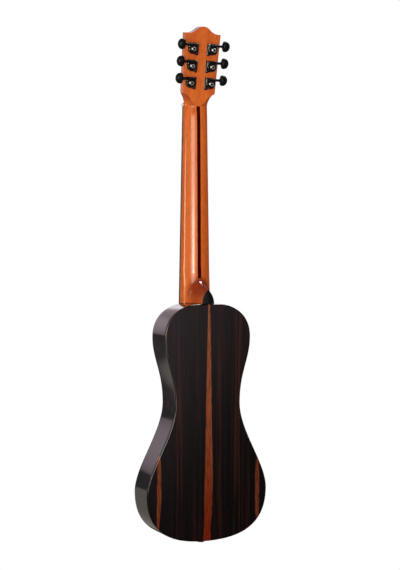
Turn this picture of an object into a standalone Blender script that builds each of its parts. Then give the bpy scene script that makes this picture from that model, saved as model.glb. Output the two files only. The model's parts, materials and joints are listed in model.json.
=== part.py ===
# Acoustic-electric travel guitar, standing neck up: +Z runs up the neck, the soundboard faces -Y,
# and the treble side is +X. The origin is on the soundboard plane, in the neck where it widens
# into the head, which is where a hanger's yoke holds the instrument. Sizes are in metres.
import math

import bmesh
import bpy
from mathutils import Matrix, Vector

# Clearances
GLUE_GAP = 0.0003
RUN_GAP = 0.0004
SLIDE_GAP = 0.0004
# How far a cutter runs past what it cuts, and how far fused shapes run into each other
CUT_OVER = 0.010
FUSE_OVER = 0.0005
STEP_RISE = 0.0001

# String length, frets and fretboard
SCALE = 0.600
JOINT_FRET = 14
FRET_COUNT = 20
NUT_WIDTH = 0.043
JOINT_WIDTH = 0.054
BOARD_THICK = 0.006
BOARD_END_MARGIN = 0.006
FRET_HEIGHT = 0.001
FRET_FOOT = 0.0022
FRET_CROWN = 0.0012
NUT_THICK = 0.005
NUT_RISE = 0.0022
HANGER_ABOVE_NUT = 0.012

# Body outline, seen from the front; each round is the length of a curve's handle
BODY_LENGTH = 0.3959
BODY_DEPTH = 0.0561
TAIL_TO_LOWER = 0.0827
LOWER_HALF = 0.1096
TOP_TO_WAIST = 0.1664
WAIST_HALF = 0.0592
TOP_TO_UPPER = 0.0550
UPPER_HALF = 0.0781
TOP_FLAT_HALF = 0.024
TAIL_ROUND = 0.057
LOWER_ROUND_BELOW = 0.0679
LOWER_ROUND_ABOVE = 0.0416
WAIST_ROUND_BELOW = 0.0485
WAIST_ROUND_ABOVE = 0.0537
UPPER_ROUND_BELOW = 0.0394
UPPER_ROUND_ABOVE = 0.0491
SHOULDER_ROUND = 0.0041
CURVE_STEPS = 8
CROWN_STEPS = 6

# Body shell
TOP_THICK = 0.0026
BACK_THICK = 0.0026
RIB_THICK = 0.002
BINDING_WIDTH = 0.002
BINDING_HEIGHT = 0.006
LINING_WIDTH = 0.006
LINING_HEIGHT = 0.007
NECK_BLOCK_HALF = 0.024
NECK_BLOCK_LENGTH = 0.045
TAIL_BLOCK_HALF = 0.027
TAIL_BLOCK_LENGTH = 0.018
SOUNDHOLE_RADIUS = 0.029
BOARD_TO_SOUNDHOLE = 0.004

# Braces
BRACE_WIDTH = 0.007
BRACE_HEIGHT = 0.009
HOLE_TO_CROSSING = 0.034
X_BRACE_ANGLE = math.radians(35)
X_BRACE_UP = 0.090
X_BRACE_DOWN = 0.150
BACK_BRACE_HEIGHT = 0.008
UPPER_BACK_BRACE_DROP = 0.118
LOWER_BACK_BRACE_RISE = 0.105
BRACE_TO_LINING = 0.0006

# Neck, heel and head
NECK_DEPTH_NUT = 0.0127
NECK_DEPTH_JOINT = 0.0173
RIDGE_HALF = 0.0006
HEEL_START = 0.0416
HEEL_CAP_LENGTH = 0.024
HEEL_CAP_HALF = 0.0107
HEEL_CAP_THICK = 0.002
HEEL_POWER = 1.2
HEEL_STEPS = 4
COVE_STEPS = 8
STRIP_WIDTH = 0.0052
STRIP_DEPTH = 0.002
STRIP_TO_NUT = 0.003
TRUSS_RADIUS = 0.00275
TRUSS_DEPTH = 0.0055
TRUSS_NUT_RADIUS = 0.0031
TRUSS_NUT_LENGTH = 0.006
TRUSS_POCKET_HALF = 0.0045
TRUSS_POCKET_LENGTH = 0.024
TRUSS_POCKET_RISE = 0.0015
TRUSS_CHANNEL_RUN = 0.004
TRUSS_NUT_TAPER = 0.0004
TRUSS_TO_JOINT = 0.004
TRUSS_COVER_HALF = 0.0095
TRUSS_COVER_LENGTH = 0.034
TRUSS_COVER_SHOULDER = 0.021
TRUSS_COVER_RISE = 0.0019
TRUSS_COVER_STEPS = 6
TRUSS_COVER_THICK = 0.0015
HEAD_ANGLE = math.radians(9.7)
HEAD_WOOD = 0.0114
HEADPLATE_THICK = 0.0017
TONGUE_DROP = 0.002
FLARE_STATION = 0.0205
CHEEK_STATION = 0.0248
FLARE_HALF = 0.0292
CORNER_STATION = 0.1191
CORNER_HALF = 0.0321
CROWN_RISE = 0.0116
CROWN_TOP_ROUND = 0.013
CROWN_SIDE_ROUND = 0.020
CROWN_SIDE_DIP = 0.0015
NECK_ARC_STEPS = 5
CHEEK_STEPS = 7

# Tuning machines, measured from the post's axis on the back of the head
POST_OFFSET = 0.0184
NEAR_ROW = 0.0367
ROW_PITCH = 0.02815
SHAFT_OFFSET = 0.0072
SHAFT_HEIGHT = 0.005
POST_RADIUS = 0.003
POST_RISE = 0.014
POST_TIP_BEVEL = 0.0006
POST_WAIST = 0.0005
POST_WAIST_LENGTH = 0.0012
POST_SIDES = 10
SLEEVE_RADIUS = 0.0047
WASHER_RADIUS = 0.007
WASHER_THICK = 0.001
SLEEVE_NUT_RADIUS = 0.0056
SLEEVE_NUT_THICK = 0.002
WINDING_RADIUS = 0.0036
WINDING_START = 0.0045
WINDING_RIBS = 3
WINDING_PITCH = 0.0014
GEAR_RADIUS = 0.0044
GEAR_TOOTH = 0.0005
GEAR_TEETH = 18
GEAR_THICK = 0.0032
WORM_RADIUS = 0.0023
WORM_GROOVE = 0.0004
WORM_LENGTH = 0.011
WORM_RIBS = 3
HOUSING_INNER = 0.0105
HOUSING_OUTER = 0.0112
HOUSING_TOP = 0.0104
DOME_RADIUS = 0.0084
DOME_HEIGHT = 0.0094
DOME_BEVEL = 0.0024
DOME_CROWN = 0.0010
DOME_TOP_RADIUS = 0.0042
BARREL_RADIUS = 0.0037
FOOT_THICK = 0.002
BARREL_SEAT = 0.0003
GEAR_ROOF = 0.0008
EAR_IN = 0.0080
EAR_DOWN = 0.0078
EAR_RADIUS = 0.0026
EAR_SCREW_RADIUS = 0.0015
EAR_SCREW_RISE = 0.0009
BUTTON_OFFSET = 0.0412
BUTTON_LENGTH = 0.018
BUTTON_WIDTH = 0.0122
BUTTON_THICK = 0.009
BUTTON_SIDES = 12
SHAFT_RADIUS = 0.0023

# Strings and bridge
NUT_SPREAD = 0.0355
SADDLE_SPREAD = 0.050
NUT_ACTION = 0.0005
TWELFTH_ACTION = 0.0022
FIRST_STRING_RADIUS = 0.00018
SIXTH_STRING_RADIUS = 0.0006
BRIDGE_HALF = 0.062
BRIDGE_CENTRE_HALF = 0.034
BRIDGE_LENGTH = 0.026
BRIDGE_THICK = 0.0075
BRIDGE_WING_THICK = 0.003
SADDLE_SETBACK = 0.008
SADDLE_HALF = 0.033
SADDLE_THICK = 0.003
SADDLE_SEAT = 0.004
PICKUP_THICK = 0.001
PIN_SETBACK = 0.010
PIN_RADIUS = 0.0027
PIN_RISE = 0.0018
PIN_SIDES = 10
BRIDGE_EDGE = 0.0012
BRIDGE_RAMP = 0.012
BRIDGE_TIP = 0.005
BRIDGE_PLATE_HALF = 0.037
BRIDGE_PLATE_LENGTH = 0.034
BRIDGE_PLATE_THICK = 0.0025

# Preamp in the bass side of the upper bout, measured down from the body's top edge
PANEL_TOP = 0.036
PANEL_BOTTOM = 0.104
PANEL_HEIGHT = 0.036
PANEL_THICK = 0.002
CASE_MARGIN = 0.003
CASE_FOOT = 0.009
RIM_STEPS = 10
CASE_DEPTH = 0.020
BAY_STATION = 0.0905
BATTERY_LENGTH = 0.0485
BATTERY_WIDTH = 0.0265
BATTERY_THICK = 0.0175
DRAWER_WALL = 0.0012
BAY_WALL = 0.0012
DRAWER_FRONT = 0.003
GRIP_HALF = 0.006
GRIP_DEPTH = 0.0015
FIRST_KNOB = 0.0445
KNOB_PITCH = 0.0115
KNOB_SHIFT = 0.008
KNOB_RADIUS = 0.0042
KNOB_HEIGHT = 0.0045
KNOB_BEVEL = 0.0006
KNOB_MARK_START = 0.001
KNOB_SHAFT_RADIUS = 0.0016
KNOB_SHAFT_LENGTH = 0.009
KNOB_MARK_WIDTH = 0.0008
KNOB_MARK_DEPTH = 0.0006
KEY_STATION = 0.056
KEY_SHIFT = 0.0085
KEY_LENGTH = 0.009
KEY_WIDTH = 0.006
KEY_RISE = 0.0024
KEY_ROOT = 0.004
KEY_TRAVEL = 0.001

# Output jack, which is also the strap pin
JACK_RADIUS = 0.0055
JACK_LENGTH = 0.034
JACK_BORE_RADIUS = 0.0033
JACK_BORE_DEPTH = 0.030
JACK_COLLAR_RADIUS = 0.0064
JACK_WAIST_RADIUS = 0.0048
JACK_COLLAR_THICK = 0.0018
JACK_WAIST_LENGTH = 0.0026
JACK_BEVEL = 0.0004
JACK_FLANGE = 0.0006
LEAD_RADIUS = 0.0008
LEAD_STEPS = 3
LEAD_RUN = 0.005
LEAD_SPACING = 0.010

# Places that follow from the sizes
nut_z = -HANGER_ABOVE_NUT


def fret_z(number):
    return nut_z - SCALE * (1 - 2 ** (-number / 12))


joint_z = fret_z(JOINT_FRET)
tail_z = joint_z - BODY_LENGTH
saddle_z = nut_z - SCALE
board_end_z = fret_z(FRET_COUNT) - BOARD_END_MARGIN
hole_z = board_end_z - BOARD_TO_SOUNDHOLE - SOUNDHOLE_RADIUS
back_inside = BODY_DEPTH - BACK_THICK
mid_depth = BODY_DEPTH / 2
heel_depth = BODY_DEPTH - HEEL_CAP_THICK - GLUE_GAP
head_thick = HEAD_WOOD + GLUE_GAP + HEADPLATE_THICK
fret_top = -GLUE_GAP - BOARD_THICK - FRET_HEIGHT
slot_floor = -GLUE_GAP - BRIDGE_THICK + SADDLE_SEAT + PICKUP_THICK + 2 * GLUE_GAP
seat_inset = RIB_THICK + GLUE_GAP
lining_inset = seat_inset + LINING_WIDTH

# Head frame: x across, y out of the head's back, z up the head, from the nut's height
head_frame = Matrix.Translation((0, NECK_DEPTH_NUT, nut_z - TONGUE_DROP))
head_frame = head_frame @ Matrix.Rotation(-HEAD_ANGLE, 4, "X")
head_frame = head_frame @ Matrix.Translation((0, 0, TONGUE_DROP))


# Materials
def finish(name, colour, roughness, metallic=0.0):
    material = bpy.data.materials.new(name)
    material.use_nodes = True
    shader = material.node_tree.nodes["Principled BSDF"]
    shader.inputs["Base Color"].default_value = (*colour, 1)
    shader.inputs["Roughness"].default_value = roughness
    shader.inputs["Metallic"].default_value = metallic
    material.diffuse_color = (*colour, 1)
    return material


for old in list(bpy.data.objects):
    bpy.data.objects.remove(old)

mahogany = finish("mahogany", (0.48, 0.19, 0.07), 0.25)
ebony = finish("striped_ebony", (0.03, 0.022, 0.02), 0.22)
dark_wood = finish("dark_wood", (0.035, 0.022, 0.018), 0.45)
spruce = finish("spruce", (0.72, 0.52, 0.28), 0.35)
inner_wood = finish("inner_wood", (0.62, 0.46, 0.28), 0.7)
black_plastic = finish("black_plastic", (0.015, 0.015, 0.016), 0.4)
bone = finish("bone", (0.8, 0.75, 0.62), 0.4)
black_metal = finish("black_metal", (0.02, 0.02, 0.022), 0.25, 0.8)
steel = finish("steel", (0.62, 0.62, 0.64), 0.3, 1.0)
bronze = finish("bronze", (0.55, 0.33, 0.14), 0.35, 1.0)
battery_skin = finish("battery_skin", (0.1, 0.1, 0.11), 0.4, 0.3)


# Shapes
def front_view(x, z, y):
    return Vector((x, y, z))


def side_view(y, z, x):
    return Vector((x, y, z))


def extruded(face, low, high, place=front_view):
    shape = bmesh.new()
    near = [shape.verts.new(place(a, b, low)) for a, b in face]
    far = [shape.verts.new(place(a, b, high)) for a, b in face]
    shape.faces.new(near)
    shape.faces.new(far)
    for index in range(len(face)):
        after = (index + 1) % len(face)
        shape.faces.new((near[index], near[after], far[after], far[index]))
    return shape


def band(outer, inner, low, high):
    shape = bmesh.new()
    rows = []
    for points, height in ((outer, low), (outer, high), (inner, high), (inner, low)):
        rows.append([shape.verts.new(front_view(x, z, height)) for x, z in points])
    for row in range(4):
        first = rows[row]
        second = rows[(row + 1) % 4]
        for index in range(len(outer)):
            after = (index + 1) % len(outer)
            shape.faces.new((first[index], first[after], second[after], second[index]))
    return shape


def lofted(rings):
    shape = bmesh.new()
    rows = [[shape.verts.new(point) for point in ring] for ring in rings]
    for first, second in zip(rows, rows[1:]):
        for index in range(len(first)):
            after = (index + 1) % len(first)
            shape.faces.new((first[index], first[after], second[after], second[index]))
    shape.faces.new(rows[0])
    shape.faces.new(rows[-1])
    return shape


def circle(centre, across, up, radius, sides):
    ring = []
    for side in range(sides):
        angle = 2 * math.pi * side / sides
        ring.append(centre + radius * (math.cos(angle) * across + math.sin(angle) * up))
    return ring


def turned(profile, axis, sides=16, centre=Vector((0, 0, 0))):
    direction = Vector(axis).normalized()
    across = direction.orthogonal().normalized()
    up = direction.cross(across)
    rings = [circle(centre + direction * along, across, up, radius, sides) for radius, along in profile]
    return lofted(rings)


def turned_up(profile, depth, sides):
    # A round shape about the upright line at that depth, from radius and height
    rings = []
    for radius, z in profile:
        rings.append(circle(Vector((0, depth, z)), Vector((1, 0, 0)), Vector((0, 1, 0)), radius, sides))
    return lofted(rings)


def rod(start, end, radius, sides=16):
    run = Vector(end) - Vector(start)
    return turned([(radius, 0), (radius, run.length)], run, sides, Vector(start))


def block(low, high):
    face = [(low[0], low[2]), (high[0], low[2]), (high[0], high[2]), (low[0], high[2])]
    return extruded(face, low[1], high[1])


def tube(points, radius, sides):
    rings = []
    across = Vector((1, 0, 0))
    for index, point in enumerate(points):
        before = points[max(index - 1, 0)]
        after = points[min(index + 1, len(points) - 1)]
        direction = (after - before).normalized()
        across = (across - direction * across.dot(direction)).normalized()
        rings.append(circle(point, across, direction.cross(across), radius, sides))
    return lofted(rings)


def smooth_route(corners, steps):
    route = []
    padded = [2 * corners[0] - corners[1]] + corners + [2 * corners[-1] - corners[-2]]
    for a, b, c, d in zip(padded, padded[1:], padded[2:], padded[3:]):
        for step in range(steps):
            t = step / steps
            pull = (c - a) * t + (2 * a - 5 * b + 4 * c - d) * t ** 2 + (3 * b - a - 3 * c + d) * t ** 3
            route.append(b + pull / 2)
    return route + [corners[-1]]


def mesh_of(shape):
    bmesh.ops.recalc_face_normals(shape, faces=shape.faces)
    mesh = bpy.data.meshes.new("shape")
    shape.to_mesh(mesh)
    shape.free()
    return mesh


def piece(name, shape, material, frame=None):
    mesh = shape if isinstance(shape, bpy.types.Mesh) else mesh_of(shape)
    mesh.name = name
    if not mesh.materials:
        mesh.materials.append(material)
    made = bpy.data.objects.new(name, mesh)
    bpy.context.scene.collection.objects.link(made)
    if frame is not None:
        made.matrix_world = frame
    return made


def combine(made, shape, operation):
    tool = bpy.data.objects.new("tool", mesh_of(shape))
    tool.matrix_world = made.matrix_world
    bpy.context.scene.collection.objects.link(tool)
    change = made.modifiers.new("change", "BOOLEAN")
    change.solver = "EXACT"
    change.operation = operation
    change.object = tool
    settled = made.evaluated_get(bpy.context.evaluated_depsgraph_get())
    result = bpy.data.meshes.new_from_object(settled)
    made.modifiers.clear()
    made.data = result
    result.name = made.name
    bpy.data.objects.remove(tool)


def cut(made, *shapes):
    for shape in shapes:
        combine(made, shape, "DIFFERENCE")


def fuse(made, *shapes):
    for shape in shapes:
        combine(made, shape, "UNION")


def round_shade(made, degrees=35):
    made.data.shade_smooth()
    made.data.set_sharp_from_angle(angle=math.radians(degrees))


def move_origin(made, point):
    made.data.transform(Matrix.Translation(-point))
    made.location = point


# Body outline
def body_curves():
    lower_z = tail_z + TAIL_TO_LOWER
    waist_z = joint_z - TOP_TO_WAIST
    upper_z = joint_z - TOP_TO_UPPER
    low_end = (LOWER_HALF, lower_z)
    waist = (WAIST_HALF, waist_z)
    high_end = (UPPER_HALF, upper_z)
    return [
        ((0, tail_z), (TAIL_ROUND, tail_z), (LOWER_HALF, lower_z - LOWER_ROUND_BELOW), low_end),
        (low_end, (LOWER_HALF, lower_z + LOWER_ROUND_ABOVE),
         (WAIST_HALF, waist_z - WAIST_ROUND_BELOW), waist),
        (waist, (WAIST_HALF, waist_z + WAIST_ROUND_ABOVE),
         (UPPER_HALF, upper_z - UPPER_ROUND_BELOW), high_end),
        (high_end, (UPPER_HALF, upper_z + UPPER_ROUND_ABOVE), (TOP_FLAT_HALF + SHOULDER_ROUND, joint_z),
         (TOP_FLAT_HALF, joint_z)),
    ]


def on_curve(curve, t):
    a, b, c, d = (Vector(corner) for corner in curve)
    u = 1 - t
    point = u ** 3 * a + 3 * u * u * t * b + 3 * u * t * t * c + t ** 3 * d
    slope = u * u * (b - a) + 2 * u * t * (c - b) + t * t * (d - c)
    slope.normalize()
    return point, Vector((slope.y, -slope.x))


def half_outline(inset):
    points = []
    curves = body_curves()
    for number, curve in enumerate(curves):
        for step in range(0 if number == 0 else 1, CURVE_STEPS + 1):
            point, outward = on_curve(curve, step / CURVE_STEPS)
            points.append(tuple(point - inset * outward))
    points.append((0, joint_z - inset))
    return points


def outline(inset):
    half = half_outline(inset)
    return half + [(-x, z) for x, z in reversed(half[1:-1])]


def half_width(z):
    half = half_outline(0)
    for (x1, z1), (x2, z2) in zip(half, half[1:]):
        if z1 <= z <= z2 and z2 > z1:
            return x1 + (x2 - x1) * (z - z1) / (z2 - z1)
    return TOP_FLAT_HALF


def rim_at(drop, inset=0.0):
    target = joint_z - drop
    curves = body_curves()
    curve = curves[3] if target > curves[3][0][1] else curves[2]
    low, high = 0.0, 1.0
    for _ in range(40):
        middle = (low + high) / 2
        point, outward = on_curve(curve, middle)
        if point.y < target:
            low = middle
        else:
            high = middle
    return point - inset * outward, outward


# Body shell
def soundboard():
    made = piece("soundboard", extruded(outline(BINDING_WIDTH + GLUE_GAP), 0, TOP_THICK), spruce)
    cut(made, rod((0, -CUT_OVER, hole_z), (0, TOP_THICK + CUT_OVER, hole_z), SOUNDHOLE_RADIUS, 48))
    cut(made, lead_hole())


def ribs():
    low = BINDING_HEIGHT + GLUE_GAP
    high = BODY_DEPTH - BINDING_HEIGHT - GLUE_GAP
    strip = half_outline(0) + half_outline(RIB_THICK)[::-1]
    for name, side in (("rib_treble", 1), ("rib_bass", -1)):
        wall = [(side * max(x, GLUE_GAP / 2), z) for x, z in strip]
        made = piece(name, extruded(wall, low, high), ebony)
        cut(made, jack_hole())
        if side < 0:
            cut(made, bay_clearance())


def linings():
    seat = outline(seat_inset)
    inner = outline(lining_inset)
    low = TOP_THICK + GLUE_GAP
    piece("lining_top", band(seat, inner, low, low + LINING_HEIGHT), inner_wood)
    high = back_inside - GLUE_GAP
    piece("lining_back", band(seat, inner, high - LINING_HEIGHT, high), inner_wood)


def bindings():
    outer = outline(0)
    inner = outline(BINDING_WIDTH)
    piece("binding_top", band(outer, inner, 0, BINDING_HEIGHT), dark_wood)
    piece("binding_back", band(outer, inner, BODY_DEPTH - BINDING_HEIGHT, BODY_DEPTH), dark_wood)


def blocks():
    low = TOP_THICK + GLUE_GAP
    high = back_inside - GLUE_GAP
    rabbet = LINING_HEIGHT + 2 * GLUE_GAP
    tail_face = [point for point in half_outline(seat_inset) if point[1] < tail_z + TAIL_TO_LOWER]
    tail_face = [point for point in tail_face if point[0] <= TAIL_BLOCK_HALF]
    tail_side = tail_face[-1][0]
    tail_top = tail_z + seat_inset + TAIL_BLOCK_LENGTH
    tail = tail_face + [(tail_side, tail_top), (-tail_side, tail_top)]
    tail += [(-x, z) for x, z in reversed(tail_face[1:])]
    neck_top = joint_z - seat_inset
    neck_low = neck_top - NECK_BLOCK_LENGTH
    side = min(NECK_BLOCK_HALF, TOP_FLAT_HALF)
    top = [(-side, neck_top), (side, neck_top), (side, neck_low), (-side, neck_low)]
    for name, face in (("tail_block", tail), ("neck_block", top)):
        made = piece(name, extruded(face, low, high), inner_wood)
        around = outline(-CUT_OVER)
        within = outline(lining_inset + GLUE_GAP)
        cut(made, band(around, within, low - CUT_OVER, low + rabbet))
        cut(made, band(around, within, high - rabbet, high + CUT_OVER))
        if name == "tail_block":
            cut(made, jack_hole())


def braces():
    crossing = Vector((0, 0, hole_z - HOLE_TO_CROSSING - SOUNDHOLE_RADIUS))
    low = TOP_THICK + GLUE_GAP
    high = low + BRACE_HEIGHT
    halfway = low + BRACE_HEIGHT / 2
    notch_width = BRACE_WIDTH + 2 * GLUE_GAP
    # The bars halve into each other where they cross, the treble one underneath
    for name, side, notch_low, notch_high in (
            ("x_brace_treble", 1, low - CUT_OVER, halfway + GLUE_GAP / 2),
            ("x_brace_bass", -1, halfway - GLUE_GAP / 2, high + CUT_OVER)):
        bar = bar_shape(crossing, side, BRACE_WIDTH, -X_BRACE_UP, X_BRACE_DOWN, low, high)
        made = piece(name, bar, inner_wood)
        reach = 3 * BRACE_WIDTH
        cut(made, bar_shape(crossing, -side, notch_width, -reach, reach, notch_low, notch_high))
    plate_z = saddle_z - PIN_SETBACK / 2
    plate = block((-BRIDGE_PLATE_HALF, low, plate_z - BRIDGE_PLATE_LENGTH / 2),
                  (BRIDGE_PLATE_HALF, low + BRIDGE_PLATE_THICK, plate_z + BRIDGE_PLATE_LENGTH / 2))
    made = piece("bridge_plate", plate, inner_wood)
    cut(made, lead_hole())
    top = back_inside - GLUE_GAP
    for name, z in (("back_brace_upper", joint_z - UPPER_BACK_BRACE_DROP),
                    ("back_brace_lower", tail_z + LOWER_BACK_BRACE_RISE)):
        half = min(half_width(z - BRACE_WIDTH / 2), half_width(z + BRACE_WIDTH / 2))
        half -= lining_inset + BRACE_TO_LINING
        bar = block((-half, top - BACK_BRACE_HEIGHT, z - BRACE_WIDTH / 2), (half, top, z + BRACE_WIDTH / 2))
        piece(name, bar, inner_wood)


def bar_shape(crossing, side, width, start, end, bottom, top):
    along = Vector((side * math.sin(X_BRACE_ANGLE), 0, -math.cos(X_BRACE_ANGLE)))
    across = Vector((along.z, 0, -along.x))
    corners = []
    for distance, shift in ((start, -1), (end, -1), (end, 1), (start, 1)):
        corner = crossing + along * distance + across * shift * width / 2
        corners.append((corner.x, corner.z))
    return extruded(corners, bottom, top)


def back_plate():
    piece("back_plate", extruded(outline(BINDING_WIDTH + GLUE_GAP), back_inside, BODY_DEPTH), ebony)


# Neck
def neck_half(z):
    share = (nut_z - z) / (nut_z - joint_z)
    return (NUT_WIDTH + (JOINT_WIDTH - NUT_WIDTH) * share) / 2


def neck_depth(z):
    share = (nut_z - z) / (nut_z - joint_z)
    return NECK_DEPTH_NUT + (NECK_DEPTH_JOINT - NECK_DEPTH_NUT) * share


def spread(low, high, steps):
    return [low + (high - low) * step / steps for step in range(steps + 1)]


def cap_half(rise):
    radius = (HEEL_CAP_LENGTH ** 2 + HEEL_CAP_HALF ** 2) / (2 * HEEL_CAP_HALF)
    return max(math.sqrt(radius ** 2 - rise ** 2) - radius + HEEL_CAP_HALF, RIDGE_HALF)


def head_half(station):
    if station <= 0:
        return NUT_WIDTH / 2
    if station < FLARE_STATION:
        return NUT_WIDTH / 2 + (FLARE_HALF - NUT_WIDTH / 2) * (station / FLARE_STATION) ** 2
    slope = (CORNER_HALF - FLARE_HALF) / (CORNER_STATION - FLARE_STATION)
    return FLARE_HALF + slope * (station - FLARE_STATION)


def neck_ring(z, half, flat, front, back, power):
    right = []
    for step in range(NECK_ARC_STEPS + 1):
        reach = math.sin(math.pi / 2 * step / NECK_ARC_STEPS)
        side = max(1 - reach ** power, 0) ** (1 / power)
        right.append((flat + (half - flat) * side, front + (back - front) * reach))
    ring = right + [(-x, y) for x, y in reversed(right)]
    return [Vector((x, y, z)) for x, y in ring]


def crown():
    top = CORNER_STATION + CROWN_RISE
    corner = (CORNER_HALF, CORNER_STATION)
    dip = (CORNER_HALF - CROWN_SIDE_ROUND, CORNER_STATION - CROWN_SIDE_DIP)
    curve = ((0, top), (CROWN_TOP_ROUND, top), dip, corner)
    return [tuple(on_curve(curve, step / CROWN_STEPS)[0]) for step in range(CROWN_STEPS + 1)]


def above_crown():
    # All that lies above the head's top edge
    right = crown()
    wide = CORNER_HALF + CUT_OVER
    top = CORNER_STATION + CROWN_RISE + 2 * CUT_OVER
    shape = right + [(wide, CORNER_STATION), (wide, top), (-wide, top), (-wide, CORNER_STATION)]
    shape += [(-x, station) for x, station in reversed(right[1:])]
    return extruded(shape, -head_thick - CUT_OVER, CUT_OVER, head_place)


def station_at(z):
    return (z - nut_z + TONGUE_DROP) / math.cos(HEAD_ANGLE) - TONGUE_DROP


def head_ring(station, under_board):
    back = head_frame @ Vector((0, 0, station))
    face = 0 if under_board else back.y - HEAD_WOOD / math.cos(HEAD_ANGLE)
    share = min((station + TONGUE_DROP) / (CHEEK_STATION + TONGUE_DROP), 1)
    half = head_half(station)
    return neck_ring(back.z, half, RIDGE_HALF + (half - RIDGE_HALF) * share, face, back.y, 2)


def neck():
    rings = []
    for rise in spread(GLUE_GAP, HEEL_CAP_LENGTH, HEEL_STEPS):
        z = joint_z + rise
        rings.append(neck_ring(z, neck_half(z), cap_half(rise), 0, heel_depth, HEEL_POWER))
    # The cove sweeps a quarter turn from the heel up into the neck's back
    for step in reversed(range(COVE_STEPS)):
        turn = math.pi / 2 * step / COVE_STEPS
        rise = 1 - math.cos(turn)
        z = joint_z + HEEL_START - (HEEL_START - HEEL_CAP_LENGTH) * math.sin(turn)
        depth = neck_depth(z) + (heel_depth - neck_depth(z)) * rise
        rings.append(neck_ring(z, neck_half(z), RIDGE_HALF, 0, depth, 2 + (HEEL_POWER - 2) * rise ** 0.5))
    seat = station_at(nut_z + NUT_THICK + GLUE_GAP)
    cheek = spread(-TONGUE_DROP, CHEEK_STATION, CHEEK_STEPS)
    rings += [head_ring(station, True) for station in cheek if station < seat - STEP_RISE]
    rings.append(head_ring(seat, True))
    rings.append(head_ring(seat + STEP_RISE, False))
    rings += [head_ring(station, False) for station in cheek if station > seat + 2 * STEP_RISE]
    rings.append(head_ring(CORNER_STATION + CROWN_RISE + CUT_OVER, False))
    made = piece("neck", lofted(rings), mahogany)
    cut(made, above_crown())
    cut(made, strip_shape(GLUE_GAP, CUT_OVER))
    cut(made, truss_channel(), truss_pocket())
    for side in (1, -1):
        for row in range(3):
            cut(made, sleeve_hole(side, row))
    round_shade(made)


def head_place(x, station, height):
    return head_frame @ Vector((x, height, station))


def sleeve_hole(side, row):
    station = NEAR_ROW + row * ROW_PITCH
    low = head_frame @ Vector((side * POST_OFFSET, -head_thick - CUT_OVER, station))
    high = head_frame @ Vector((side * POST_OFFSET, CUT_OVER, station))
    return rod(low, high, SLEEVE_RADIUS + GLUE_GAP, 12)


def strip_shape(gap, rise):
    low = joint_z + HEEL_START - gap
    high = nut_z - STRIP_TO_NUT + gap
    floor = STRIP_DEPTH + gap
    profile = [(neck_depth(low) - floor, low), (neck_depth(low) + rise, low),
               (neck_depth(high) + rise, high), (neck_depth(high) - floor, high)]
    return extruded(profile, -STRIP_WIDTH / 2 - gap, STRIP_WIDTH / 2 + gap, side_view)


def truss_channel():
    half = TRUSS_RADIUS + GLUE_GAP
    return block((-half, -CUT_OVER, joint_z + TRUSS_TO_JOINT - GLUE_GAP),
                 (half, TRUSS_DEPTH + half, nut_z + NUT_THICK + TRUSS_CHANNEL_RUN))


def truss_pocket():
    low = nut_z + NUT_THICK + TRUSS_POCKET_RISE
    return block((-TRUSS_POCKET_HALF, -CUT_OVER, low),
                 (TRUSS_POCKET_HALF, TRUSS_DEPTH + TRUSS_POCKET_HALF, low + TRUSS_POCKET_LENGTH))


def neck_fittings():
    piece("neck_strip", strip_shape(0, 0), dark_wood)
    rises = [HEEL_CAP_LENGTH * share for share in (0, 0.2, 0.4, 0.6, 0.75, 0.88)]
    right = [(cap_half(rise), joint_z + max(rise, GLUE_GAP)) for rise in rises]
    arch = right + [(0, joint_z + HEEL_CAP_LENGTH)] + [(-x, z) for x, z in reversed(right)]
    piece("heel_cap", extruded(arch, BODY_DEPTH - HEEL_CAP_THICK, BODY_DEPTH), black_plastic)
    bottom = joint_z + TRUSS_TO_JOINT
    hex_start = nut_z + NUT_THICK + TRUSS_POCKET_RISE + STEP_RISE
    profile = [(TRUSS_RADIUS, bottom), (TRUSS_RADIUS, hex_start),
               (TRUSS_NUT_RADIUS, hex_start + TRUSS_NUT_TAPER),
               (TRUSS_NUT_RADIUS, hex_start + TRUSS_NUT_LENGTH)]
    made = piece("truss_rod", turned_up(profile, TRUSS_DEPTH, 12), steel)
    move_origin(made, Vector((0, TRUSS_DEPTH, hex_start)))


def board_place(z, y, share):
    return Vector((share * neck_half(z), y, z))


def fretboard():
    top = -GLUE_GAP - BOARD_THICK
    profile = [(nut_z - GLUE_GAP, -GLUE_GAP), (nut_z - GLUE_GAP, top)]
    for number in range(1, FRET_COUNT + 1):
        z = fret_z(number)
        profile += [(z + FRET_FOOT / 2, top), (z + FRET_CROWN / 2, fret_top),
                    (z - FRET_CROWN / 2, fret_top), (z - FRET_FOOT / 2, top)]
    profile += [(board_end_z, top), (board_end_z, -GLUE_GAP)]
    piece("fretboard", extruded(profile, -1, 1, board_place), dark_wood)


def string_radius(number):
    return FIRST_STRING_RADIUS + (SIXTH_STRING_RADIUS - FIRST_STRING_RADIUS) * number / 5


def string_x(number, spread):
    return spread * (0.5 - number / 5)


nut_string_y = fret_top - NUT_ACTION
saddle_string_y = fret_top - NUT_ACTION - 2 * (TWELFTH_ACTION - NUT_ACTION)


def nut():
    half = NUT_WIDTH / 2
    crest = nut_string_y - NUT_RISE
    profile = [(half, -GLUE_GAP), (half, crest)]
    for number in range(6):
        radius = string_radius(number) + GLUE_GAP
        x = string_x(number, NUT_SPREAD)
        floor = nut_string_y + GLUE_GAP
        profile += [(x + radius, crest), (x + radius, floor), (x - radius, floor), (x - radius, crest)]
    profile += [(-half, crest), (-half, -GLUE_GAP)]

    def upright(x, y, z):
        return Vector((x, y, z))

    piece("nut", extruded(profile, nut_z, nut_z + NUT_THICK, upright), bone)


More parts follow.
